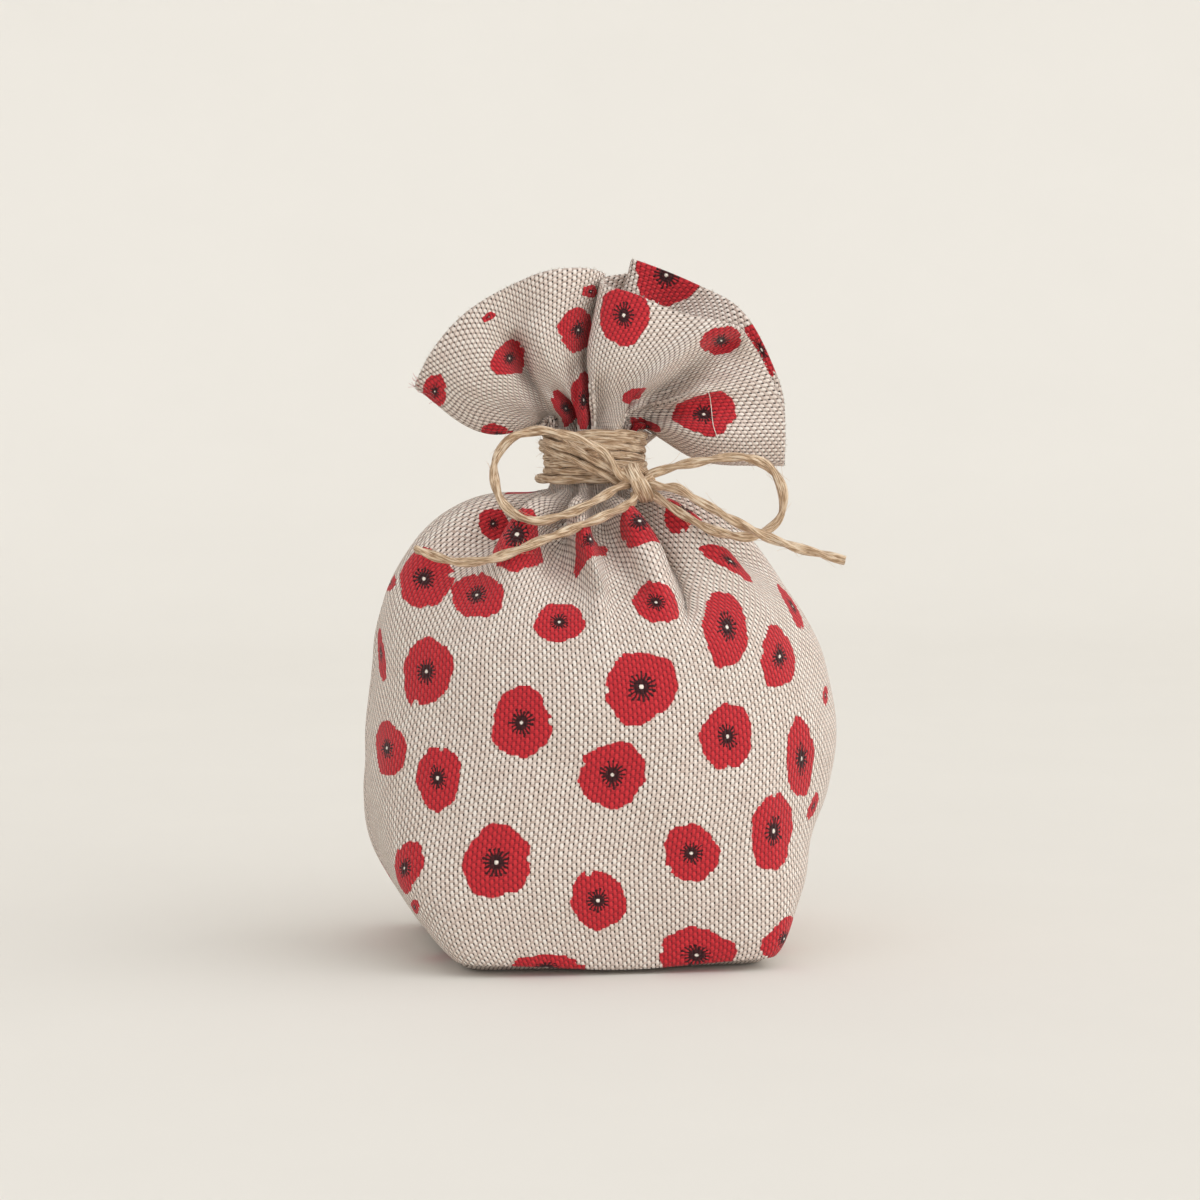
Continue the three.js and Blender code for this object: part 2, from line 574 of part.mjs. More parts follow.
add("twine_tail_right", freeTwine(TAIL_RIGHT), JUTE, 0.85);

console.log(`least gap in the winding: ${leastGap().toFixed(2)} mm`);

export default pouch;
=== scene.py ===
"""A stuffed linen pouch with a boxed base, gathered at the neck and tied with jute twine in a bow."""

import math

import bpy
import numpy as np
from mathutils import Matrix, Vector


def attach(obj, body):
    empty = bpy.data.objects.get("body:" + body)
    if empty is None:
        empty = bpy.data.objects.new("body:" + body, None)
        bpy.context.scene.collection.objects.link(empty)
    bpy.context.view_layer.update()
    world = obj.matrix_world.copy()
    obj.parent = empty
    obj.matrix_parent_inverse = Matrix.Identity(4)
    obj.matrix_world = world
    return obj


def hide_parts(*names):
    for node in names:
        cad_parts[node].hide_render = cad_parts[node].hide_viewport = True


MM = 0.001

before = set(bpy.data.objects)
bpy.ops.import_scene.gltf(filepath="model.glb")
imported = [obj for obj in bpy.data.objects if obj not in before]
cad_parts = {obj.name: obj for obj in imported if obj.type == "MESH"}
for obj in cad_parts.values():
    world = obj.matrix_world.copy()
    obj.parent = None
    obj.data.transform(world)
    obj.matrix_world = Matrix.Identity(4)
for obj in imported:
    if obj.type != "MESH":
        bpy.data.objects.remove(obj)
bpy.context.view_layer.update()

# Camera: a long lens a little above the pouch, which is turned so that its left side shows.
CAMERA_AZIMUTH = math.radians(-8.0)
CAMERA_DISTANCE = 830.0
CAMERA_HEIGHT = 145.0
CAMERA_PITCH = math.radians(5.15)
PICTURE_SCALE = 0.2  # millimetres that one pixel of the 1200 pixel picture spans at the pouch
PICTURE_WIDTH = 1200 * PICTURE_SCALE
PICTURE_BASE = 375 * PICTURE_SCALE  # how far the pouch's lower edge lies under the picture's middle
CAMERA_SEES = (0.05, 20.0)  # from how near to how far, in metres
SENSOR = 36.0
LENS = SENSOR * CAMERA_DISTANCE / PICTURE_WIDTH

CAMERA_RIGHT = np.array([math.cos(CAMERA_AZIMUTH), math.sin(CAMERA_AZIMUTH), 0.0])
CAMERA_LEVEL = np.array([-math.sin(CAMERA_AZIMUTH), math.cos(CAMERA_AZIMUTH), 0.0])
CAMERA_PLACE = -CAMERA_LEVEL * CAMERA_DISTANCE + np.array([0.0, 0.0, CAMERA_HEIGHT])
UP = np.array([0.0, 0.0, 1.0])
BACKWARDS = np.array([0.0, 1.0, 0.0])
CAMERA_FORWARD = CAMERA_LEVEL * math.cos(CAMERA_PITCH) - UP * math.sin(CAMERA_PITCH)
CAMERA_UP = CAMERA_LEVEL * math.sin(CAMERA_PITCH) + UP * math.cos(CAMERA_PITCH)


def add_object(name, data):
    made = bpy.data.objects.new(name, data)
    bpy.context.scene.collection.objects.link(made)
    return made


def make_camera():
    camera = add_object("camera", bpy.data.cameras.new("camera"))
    camera.data.lens = LENS
    camera.data.sensor_width = SENSOR
    camera.data.sensor_fit = "HORIZONTAL"
    camera.data.clip_start, camera.data.clip_end = CAMERA_SEES
    axes = Matrix([CAMERA_RIGHT, CAMERA_UP, -CAMERA_FORWARD]).transposed()
    camera.matrix_world = Matrix.Translation(Vector(CAMERA_PLACE * MM)) @ axes.to_4x4()
    bpy.context.scene.camera = camera


def in_picture(points):
    """Where points in millimetres show: across from the picture's middle, up from the pouch's lower edge, how far."""
    away = points - CAMERA_PLACE
    deep = away @ CAMERA_FORWARD
    scale = CAMERA_DISTANCE / deep
    return (away @ CAMERA_RIGHT) * scale, (away @ CAMERA_UP) * scale + PICTURE_BASE, deep


make_camera()


# Meshes.
def make_object(name, points, faces):
    """A smooth mesh object from points in millimetres."""
    mesh = bpy.data.meshes.new(name)
    mesh.from_pydata((np.asarray(points) * MM).tolist(), [], [list(map(int, face)) for face in faces])
    mesh.update()
    mesh.shade_smooth()
    return add_object(name, mesh)


def tube_faces(rows, columns):
    """The faces of a closed tube of points, row by row, and its two caps."""
    faces = []
    for i in range(rows - 1):
        for j in range(columns):
            k = (j + 1) % columns
            faces.append((i * columns + j, i * columns + k, (i + 1) * columns + k, (i + 1) * columns + j))
    last = (rows - 1) * columns
    return faces + [tuple(reversed(range(columns))), tuple(range(last, last + columns))]


def shell_faces(rows, columns):
    """The faces of a grid of points, of the same grid behind it, and of the rim that closes the gap between them."""
    count = rows * columns
    front = [
        (a, a + 1, a + columns + 1, a + columns)
        for i in range(rows - 1)
        for a in range(i * columns, (i + 1) * columns - 1)
    ]
    back = [tuple(k + count for k in reversed(face)) for face in front]
    right = [i * columns + columns - 1 for i in range(1, rows)]
    top = [(rows - 1) * columns + j for j in range(columns - 2, -1, -1)]
    left = [i * columns for i in range(rows - 2, 0, -1)]
    loop = [*range(columns), *right, *top, *left]
    return front + back + [(b, a, a + count, b + count) for a, b in zip(loop, loop[1:] + loop[:1])]


def make_shell(name, front, back, places):
    """A closed shell from two grids of points and the grid of their places in the flat cloth."""
    faces = shell_faces(*front.shape[:2])
    made = make_object(name, np.concatenate([front.reshape(-1, 3), back.reshape(-1, 3)]), faces)
    places = np.concatenate([places.reshape(-1, 2)] * 2)
    set_uv(made, "Cloth", places[np.array([k for face in faces for k in face])])
    return made, faces, places


def set_uv(made, name, corners):
    """A UV map from one pair of numbers for each face corner."""
    layer = made.data.uv_layers.new(name=name)
    layer.data.foreach_set("uv", np.asarray(corners, np.float32).ravel())


def dress(made, node=None, material=None):
    """Hangs a piece on the one body, hides the node that it takes the place of and gives it its material."""
    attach(made, "root")
    if node:
        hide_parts(node)
    if material:
        made.data.materials.append(material)
    return made


def set_face_vectors(made, name, vectors):
    layer = made.data.attributes.new(name, "FLOAT_VECTOR", "FACE")
    layer.data.foreach_set("vector", np.asarray(vectors, np.float32).ravel())


# Curves and easing.
def unit(vectors):
    return vectors / (np.linalg.norm(vectors, axis=-1, keepdims=True) + 1e-9)


def run_along(line):
    """How far each point of a line is along it."""
    return np.concatenate([[0], np.cumsum(np.linalg.norm(np.diff(line, axis=0), axis=1))])


def read_along(line, run, at):
    """The points of a line at the given lengths along it."""
    return np.stack([np.interp(at, run, line[:, k]) for k in range(3)], -1)


def evened(values, axis=0, closed=True):
    """Each value's mean with its two neighbours along an axis. The ends of an open first axis are repeated."""
    if closed:
        return (values + np.roll(values, 1, axis) + np.roll(values, -1, axis)) / 3
    padded = np.concatenate([values[:1], values, values[-1:]])
    return (padded[:-2] + padded[1:-1] + padded[2:]) / 3


def ease(low, high, value):
    """0 below low, 1 above high, and smooth between them."""
    t = np.clip((value - low) / (high - low), 0, 1)
    return t * t * (3 - 2 * t)


def spline(values, u):
    """A smooth curve through evenly spaced values, read at u from 0 to 1."""
    values = np.asarray(values, float)
    at = np.clip(u, 0, 1) * (len(values) - 1)
    i = np.minimum(at.astype(int), len(values) - 2)
    t = at - i
    if values.ndim > 1:
        t = t[..., None]
    p = [values[np.clip(i + k, 0, len(values) - 1)] for k in (-1, 0, 1, 2)]
    cubic = 3 * p[1] - p[0] - 3 * p[2] + p[3]
    square = 2 * p[0] - 5 * p[1] + 4 * p[2] - p[3]
    return p[1] + 0.5 * t * (p[2] - p[0] + t * (square + t * cubic))


def hermite(a, b, leave, arrive, t):
    return (
        (2 * t**3 - 3 * t**2 + 1) * a
        + (t**3 - 2 * t**2 + t) * leave
        + (3 * t**2 - 2 * t**3) * b
        + (t**3 - t**2) * arrive
    )


def ring_spline(shares, points, share):
    """A closed smooth curve through points at the given shares of the way round."""
    s = np.concatenate([np.asarray(shares) + k for k in (-1.0, 0.0, 1.0)])
    p = np.tile(np.asarray(points, float), (3, 1))
    step = np.diff(s)[:, None]
    slope = np.diff(p, axis=0) / step
    between = (slope[:-1] * step[1:] + slope[1:] * step[:-1]) / (step[:-1] + step[1:])
    tangent = np.concatenate([slope[:1], between, slope[-1:]])
    i = np.searchsorted(s, share, side="right") - 1
    t = ((share - s[i]) / (s[i + 1] - s[i]))[:, None]
    return hermite(p[i], p[i + 1], tangent[i] * step[i], tangent[i + 1] * step[i], t)


def waves(table, at):
    """A sum of sine waves, each given by its size, how quick it is and where it starts."""
    return sum(size * np.sin(quick * at + start) for size, quick, start in table)


def slow_noise(passes, seed):
    """Smooth random values with a spread of 1 for the cloth's grid, closed round the pouch."""
    noise = np.random.default_rng(seed).normal(size=(ROWS, COLUMNS))
    for _ in range(passes):
        noise = evened(evened(noise, 1), closed=False)
    return noise / noise.std()


# Twine. The routes repeat those of the solids, in millimetres.
TWINE = 2.05
LOOP_LEFT = [
    (1.8, -15, 96.4), (-1.4, -14.8, 100.8), (-5.4, -14.2, 103), (-10, -13.4, 104.4), (-15, -12.4, 104.8),
    (-19.4, -11.8, 103.2), (-22.2, -12, 99.8), (-22.8, -13.4, 95.6), (-21.8, -16, 91.6), (-19.2, -19, 88.8),
    (-15.4, -20.8, 87.8), (-10.8, -20.8, 88.6), (-5.8, -19.8, 90.4), (-1.6, -17.8, 92.4), (1.8, -16, 94),
]
LOOP_RIGHT = [
    (8.8, -15, 96.6), (12.6, -16.2, 97.8), (17.4, -17.2, 98.8), (22.2, -18, 99.6), (26.6, -18.4, 99.6),
    (30.6, -18.6, 98), (33.2, -18.8, 94.6), (33.8, -19, 90.8), (32.6, -19.4, 87.2), (29.2, -20, 84.8),
    (24.8, -20.6, 84.2), (19.8, -20.8, 85.4), (15.2, -20, 87.6), (11.4, -18, 90.2), (8.6, -15.8, 92.2),
]
TAIL_LEFT = [
    (4, -17.4, 91), (-0.2, -19.8, 89.2), (-5.2, -22, 87.4), (-10.6, -23.6, 85.6), (-15.8, -24.4, 83.8),
    (-20.8, -24.4, 81.8), (-25.6, -23.2, 80.4), (-30.2, -21, 79.8), (-34.4, -18, 80.6), (-38.4, -14.6, 82),
]
TAIL_RIGHT = [
    (9.6, -17.6, 94), (12.8, -20.4, 93.6), (16.4, -22.8, 91.4), (20.6, -24.6, 89), (25, -25.6, 86.6),
    (29.6, -26.2, 84.4), (34.4, -26.6, 82.6), (39.6, -26.8, 81.2), (44.6, -27, 79.8),
]
KNOT = np.array([5.4, -14.2, 95.0])
STRANDS = 2
STRAND_SIDES = 10
STRAND_WAVES = 5
UNEVEN_TWIST, UNEVEN_OFFSET, UNEVEN_THICKNESS = 0.3, 0.10, 0.09
STRANDS_APART = 0.17  # how far a strand's middle is from the twine's, for each millimetre of the twine
LAY_LENGTH = 14.0  # the twine's length for one full twist
ROUTE_STEP = 0.4
DENSE = 60  # how many points a route has between two given ones before it is resampled


def even_route(points, step=ROUTE_STEP):
    """A smooth route through points, resampled at even steps."""
    dense = spline(points, np.linspace(0, 1, DENSE * len(points)))
    run = run_along(dense)
    at = np.linspace(0, run[-1], max(8, round(run[-1] / step)) + 1)
    return read_along(dense, run, at), run[-1]


def route_frames(route):
    """The route's direction at each point, and two square to it that are carried along without twist."""
    along = unit(np.gradient(route, axis=0))
    side = np.cross(along[0], (0.2, 0.9, 0.4))
    first = []
    for direction in along:
        side = unit(side - direction * (side @ direction))
        first.append(side)
    first = np.array(first)
    return along, first, np.cross(along, first)


def tube(route, radius, sides):
    """Points and faces of a capped tube whose radius is one number or one for each point."""
    _, first, second = route_frames(route)
    angle = 2 * math.pi * np.arange(sides) / sides
    spokes = first[:, None] * np.cos(angle)[:, None] + second[:, None] * np.sin(angle)[:, None]
    points = route[:, None] + spokes * np.broadcast_to(radius, len(route))[:, None, None]
    return points.reshape(-1, 3), tube_faces(len(route), sides)


def tube_uv(length, count, sides):
    """UV corners for a tube: millimetres along it, and the share of the way round."""
    step = length / (count - 1)
    corners = ((0, 0), (0, 1), (1, 1), (1, 0))
    wall = [((i + a) * step, (j + b) / sides) for i in range(count - 1) for j in range(sides) for a, b in corners]
    return wall + [(end, j / sides) for end in (0.0, length) for j in range(sides)]


def join_parts(parts):
    """One list of points and faces from several."""
    points, faces, start = [], [], 0
    for some_points, some_faces in parts:
        points.append(some_points)
        faces += [tuple(start + k for k in face) for face in some_faces]
        start += len(some_points)
    return np.concatenate(points), faces


def twist_strands(route, diameter, seed, apart):
    """The strands of a twine along a route, each with its own slow changes of thickness."""
    rng = np.random.default_rng(seed)
    _, first, second = route_frames(route)
    run = run_along(route)
    offset = diameter * apart
    strand = diameter * (0.5 - apart)
    start = rng.uniform(0, 2 * math.pi)
    parts, corners = [], []
    for k in range(STRANDS):
        uneven = sum(
            rng.uniform(0.2, 0.5) * np.sin(run / rng.uniform(1.2, 5.0) + rng.uniform(0, 6.3))
            for _ in range(STRAND_WAVES)
        )
        turn = start + 2 * math.pi * (run / LAY_LENGTH + k / STRANDS) + UNEVEN_TWIST * uneven
        away = offset * (1 + UNEVEN_OFFSET * uneven)
        middle = route + (first * np.cos(turn)[:, None] + second * np.sin(turn)[:, None]) * away[:, None]
        radius = strand * (1 + UNEVEN_THICKNESS * uneven)
        parts.append(tube(middle, radius, STRAND_SIDES))
        corners += tube_uv(run[-1], len(route), STRAND_SIDES)
    return parts, corners


def make_strands(name, node, twines):
    """A piece from one twine or more, each given by its route, thickness, seed and how far its strands are apart."""
    parts, corners = [], []
    for twine in twines:
        some_parts, some_corners = twist_strands(*twine)
        parts += some_parts
        corners += some_corners
    made = make_object(name, *join_parts(parts))
    set_uv(made, "Fibre", corners)
    return dress(made, node)


def make_twine(name, node, points, seed, diameter=TWINE, apart=STRANDS_APART):
    route, length = even_route(points)
    return make_strands(name, node, [(route, diameter, seed, apart)]), route, length


# The knot, from its middle: three turns side by side that slant down over its front, and the ends inside it.
KNOT_TURN = [
    (0.6, 1.6, 1.0), (-1.6, 1.0, 2.0), (-2.2, -0.6, 2.3), (-1.9, -2.0, 1.5), (-1.1, -2.7, 0.0), (-0.3, -2.9, -1.6),
    (0.6, -2.0, -3.2), (0.9, -0.2, -3.5), (0.8, 1.4, -2.2), (0.8, 1.8, -0.2),
]
KNOT_BESIDE = [(0.0, 0.0, 0.0), (0.9, -0.35, 0.2), (1.7, 0.3, 0.3)]
KNOT_INSIDE = [(-3.2, 0.2, 1.6), (-1.0, -0.8, 0.6), (1.0, -0.8, -0.6), (3.0, -0.6, 0.6)]
KNOT_THICK = 0.95  # the thickness of the knot's turns, and below that of its inside, in thicknesses of the twine
KNOT_INSIDE_THICK = 1.5
KNOT_APART = 0.15
KNOT_SEED = 40


def make_knot():
    turns = [(np.array(KNOT_TURN + KNOT_TURN[:1]) + beside, KNOT_THICK) for beside in KNOT_BESIDE]
    twines = [
        (even_route(points + KNOT)[0], TWINE * thick, KNOT_SEED + k, KNOT_APART)
        for k, (points, thick) in enumerate([*turns, (np.array(KNOT_INSIDE), KNOT_INSIDE_THICK)])
    ]
    return make_strands("knot_twine", "bow_knot", twines)


INTO_KNOT = 0.45  # how much of the way to the knot's middle an end goes


def into_knot(point):
    """A place just inside the knot, for an end that comes out of it."""
    return tuple(np.array(point) * (1 - INTO_KNOT) + KNOT * INTO_KNOT)


def make_free_twine(name, node, points, seed, far_end):
    points = [into_knot(points[0]), *points]
    if far_end == "object":
        points.append(into_knot(points[-1]))
    made, route, length = make_twine(name, node, points, seed)
    fibres = make_fibres(name + "_fibres", route, seed + 100)
    tuple(route[0] * MM)
    length * MM
    [tuple(p * MM) for p in route]
    return made, fibres


FIBRES_PER_MM = 0.7
FIBRE_START = 0.4 * TWINE  # how far from the twine's middle a fibre starts
FIBRE_POINTS = 6
FIBRE_RADII = np.linspace(0.042, 0.018, FIBRE_POINTS)
FIBRE_LENGTHS = (1.0, 3.6)
LONG_FIBRES, LONGER = 0.12, 1.5  # the share of fibres that are longer, and how many times
FIBRE_CURL = 0.35
FIBRE_LIFTS = (0.12, 0.6)  # how far fibres rise from the twine, as a share of their length


def threads_object(name, threads, material=None):
    """Fine threads, each from its line of points and their radii."""
    made = make_object(name, *join_parts([tube(line, radius, 3) for line, radius in threads]))
    return dress(made, material=material)


def make_fibres(name, route, seed):
    """Loose jute fibres that stand off a twine."""
    rng = np.random.default_rng(seed)
    along, first, second = route_frames(route)
    fibres = []
    for _ in range(int(len(route) * ROUTE_STEP * FIBRES_PER_MM)):
        i = rng.integers(1, len(route) - 1)
        angle = rng.uniform(0, 2 * math.pi)
        out = first[i] * math.cos(angle) + second[i] * math.sin(angle)
        way = along[i] * rng.choice((-1, 1))
        long = rng.uniform(*FIBRE_LENGTHS) * (LONGER if rng.random() < LONG_FIBRES else 1)
        lift = rng.uniform(*FIBRE_LIFTS)
        curl = np.cross(way, out) * rng.normal(0, FIBRE_CURL)
        t = np.linspace(0, 1, FIBRE_POINTS)[:, None]
        hair = route[i] + out * FIBRE_START + way * long * t + (out * lift + curl) * long * t**1.7
        fibres.append((hair, FIBRE_RADII))
    return threads_object(name, fibres)


def make_bow():
    """The knot, which is on the left loop's twine, the two loops and the two tails."""
    knot = make_knot()
    pieces = [knot]
    for name, node, points, seed, far_end in (
        ("loop_left_twine", "bow_loop_left", LOOP_LEFT, 1, "object"),
        ("loop_right_twine", "bow_loop_right", LOOP_RIGHT, 2, "object"),
        ("tail_left_twine", "twine_tail_left", TAIL_LEFT, 3, "bare"),
        ("tail_right_twine", "twine_tail_right", TAIL_RIGHT, 4, "bare"),
    ):
        pieces += make_free_twine(name, node, points, seed, far_end)
    return pieces


twine_pieces = make_bow()

# The winding round the neck: close turns that end in a last stretch across the front, down to the knot.
NECK_X = -1.0
WOUND_TWINE = 1.78
WINDING_RADIUS = 9.7
WINDING_LOW = 93.9
WINDING_RISE = 1.5
WINDING_TURNS = 7.72
WINDING_START = math.radians(305)
WINDING_TILT = 0.05
WINDING_ARCH = 0.015
WINDING_POINTS = 170
WINDING_APART = 0.12  # how far the strands are apart where the twine is drawn tight
WINDING_WANDER = ((0.2, 5.3, 1.0), (0.14, 11.7, 0.0))
RADIUS_WAVES = ((0.16, 7.1, 0.0), (0.1, 13.3, 0.0))
CROSSING_APART = 0.14
CROSSING_TURNS = 0.2
CROSSING_LIFT = 1.7
CROSSING_END = 2.8  # how far above the knot's middle the last stretch ends
BULGE = 1.6  # how far the lowest turn stands out at the left
BULGE_TURN = 0.62
BULGE_WIDTH = 0.22


def winding_route():
    turns = np.linspace(0, WINDING_TURNS + CROSSING_TURNS, WINDING_POINTS)
    wound = np.minimum(turns, WINDING_TURNS)
    crossing = np.clip((turns - WINDING_TURNS) / CROSSING_TURNS, 0, 1)
    lift = ease(WINDING_TURNS - 0.2, WINDING_TURNS + 0.02, turns)
    angle = WINDING_START + 2 * math.pi * turns
    radius = WINDING_RADIUS + CROSSING_LIFT * lift + waves(RADIUS_WAVES, turns)
    radius = radius + BULGE * np.exp(-(((turns - BULGE_TURN) / BULGE_WIDTH) ** 2))
    height = WINDING_LOW + WINDING_RISE * wound + waves(WINDING_WANDER, turns) * (1 - lift)
    across = radius * np.cos(angle)
    height = height - (WINDING_TILT * across + WINDING_ARCH * across**2) * wound / WINDING_TURNS
    height = height + (KNOT[2] + CROSSING_END - height) * ease(0, 1, crossing)
    return np.stack([NECK_X + across, radius * np.sin(angle), height], -1)


# Two stretches beside the winding's last one, from behind the neck's left side down to the knot.
CROSSINGS = [
    [(-11.0, 3.0, 101.4), (-11.7, -2.0, 102.0), (-10.6, -6.8, 102.0), (-7.0, -10.8, 101.0), (-2.4, -13.1, 98.8),
     (1.2, -13.9, 96.8), (4.0, -13.8, 95.4)],
    [(-11.0, 3.0, 100.6), (-11.5, -2.0, 100.9), (-10.2, -6.8, 100.4), (-6.6, -10.6, 98.9), (-2.2, -12.6, 96.7),
     (1.2, -13.4, 95.0), (4.0, -13.4, 94.0)],
]


def make_winding():
    made, route, _ = make_twine("winding_twine", "neck_winding", winding_route(), 21, WOUND_TWINE, WINDING_APART)
    pieces = [made, make_fibres("winding_fibres", route[::2], 22)]
    for k, points in enumerate(CROSSINGS):
        crossing, route, _ = make_twine(f"crossing_twine_{k + 1}", None, points, 23 + k, WOUND_TWINE, CROSSING_APART)
        pieces += [crossing, make_fibres(f"crossing_fibres_{k + 1}", route, 33 + k)]
    return pieces


twine_pieces += make_winding()

# The cloth's grid of yarn steps. Columns run round the pouch from the left seam across the front.
ROUND = 264.0
WALL_LENGTH = 106.0
NECK_LENGTH = 12.6
RUFFLE_LENGTH = 38.0
STEP = 1.1
COLUMNS = 4 * round(ROUND / STEP / 4)
HALF = COLUMNS // 2
WALL_ROWS = round(WALL_LENGTH / STEP)
NECK_ROWS = round(NECK_LENGTH / STEP)
RUFFLE_ROWS = round(RUFFLE_LENGTH / STEP)
ROWS = WALL_ROWS + NECK_ROWS + RUFFLE_ROWS + 1
NECK_TOP_ROW = WALL_ROWS + NECK_ROWS
EACH_ROW = np.arange(ROWS)
EACH_COLUMN = np.arange(COLUMNS)
NECK_RADIUS = 8.6
NECK_LOW = 92.6
NECK_HIGH = 106.2
PLEATS = 27
PLEAT_DEPTH = 0.5
PLEAT_WAVES = ((1.3, 3, 0), (0.9, 5, 1))  # how the pleats' spacing changes round the neck
NECK_TILT = 0.1  # how far the neck's top drops towards the right, for each millimetre across
FOLD_DEEPER = 0.6  # how much more the shoulder's folds fall in at the neck
DEEPEST_FOLD = 6.5
FALLING_FADE, RISING_FADE, PLEAT_FADE = 5.0, 3.5, 4.0  # over what way from the neck folds and pleats change

# The body's outer sections, as in the solids: height, left, right and depth, and how square each is.
SECTIONS = np.array([
    (0.0, 28.0, 27.0, 30.0, 4.0),
    (1.6, 32.6, 31.4, 33.6, 12.0),
    (11.0, 39.8, 36.2, 35.0, 6.5),
    (22.0, 45.8, 40.6, 36.2, 3.6),
    (34.0, 47.3, 44.9, 36.8, 2.7),
    (46.0, 46.9, 46.8, 36.8, 2.4),
    (58.0, 45.8, 44.7, 35.6, 2.3),
    (68.0, 44.2, 39.8, 33.0, 2.2),
    (76.0, 41.6, 33.8, 28.6, 2.1),
    (83.0, 36.0, 27.8, 22.6, 2.0),
    (88.0, 29.8, 20.8, 16.8, 2.0),
    (91.0, 20.4, 14.0, 11.8, 2.0),
    (92.8, 10.4, 8.2, 9.2, 2.0),
])

# The folds of the shoulder, in turn round the neck. For each of the heights: its bearing in degrees, with the
# front at -90, and how far it stands out from the section or, below 0, falls in.
FOLD_HEIGHTS = (91.0, 86.0, 81.0, 75.0, 70.0, 63.0)
FOLDS = [
    ((-166, -166, -168, -170, -172, -174), (0.3, 0.6, 0.8, 0.6, 0.2, 0.0)),
    ((-156, -150, -146, -145, -146, -147), (-2.0, -3.2, -3.0, -2.0, -1.0, 0.0)),
    ((-141, -135, -130, -127, -126, -126), (0.5, 1.0, 0.8, 0.4, 0.1, 0.0)),
    ((-126, -117, -110, -103, -100, -99), (-3.0, -4.8, -4.5, -2.8, -1.2, 0.0)),
    ((-115, -105, -100, -97, -96, -96), (1.0, 1.6, 1.0, 0.8, 0.2, 0.0)),
    ((-94, -92, -91, -91, -92, -92), (-2.8, -3.8, -3.4, -2.3, -1.0, 0.0)),
    ((-80, -74, -71, -70, -70, -70), (0.8, 1.6, 1.6, 1.0, 0.3, 0.0)),
    ((-62, -61, -61, -62, -64, -66), (-2.6, -3.8, -4.0, -3.0, -1.6, 0.0)),
    ((-46, -43, -39, -36, -34, -34), (0.5, 0.9, 0.8, 0.4, 0.1, 0.0)),
    ((-30, -27, -24, -22, -21, -20), (-1.8, -2.4, -1.8, -0.8, -0.2, 0.0)),
    ((-14, -12, -10, -8, -7, -6), (0.2, 0.5, 0.6, 0.3, 0.0, 0.0)),
    ((6, 8, 9, 10, 10, 10), (-1.8, -2.6, -2.2, -1.2, -0.3, 0.0)),
    ((24, 26, 28, 29, 30, 30), (0.6, 1.0, 1.0, 0.6, 0.2, 0.0)),
    ((42, 44, 45, 45, 45, 45), (-2.8, -4.2, -3.8, -2.2, -0.8, 0.0)),
    ((60, 60, 60, 60, 60, 60), (0.8, 1.4, 1.2, 0.6, 0.1, 0.0)),
    ((76, 75, 73, 71, 70, 70), (-3.0, -4.8, -4.4, -2.6, -1.0, 0.0)),
    ((92, 90, 88, 86, 85, 85), (0.8, 1.6, 1.4, 0.8, 0.2, 0.0)),
    ((108, 107, 105, 103, 102, 102), (-2.8, -4.6, -4.0, -2.4, -1.0, 0.0)),
    ((124, 124, 123, 122, 122, 122), (0.6, 1.2, 1.2, 0.7, 0.2, 0.0)),
    ((141, 142, 143, 143, 143, 143), (-2.6, -3.8, -3.4, -2.0, -0.8, 0.0)),
    ((160, 161, 162, 163, 164, 164), (0.4, 0.8, 0.8, 0.5, 0.1, 0.0)),
    ((180, 178, 176, 175, 174, 174), (-1.4, -1.8, -1.4, -0.6, -0.1, 0.0)),
]

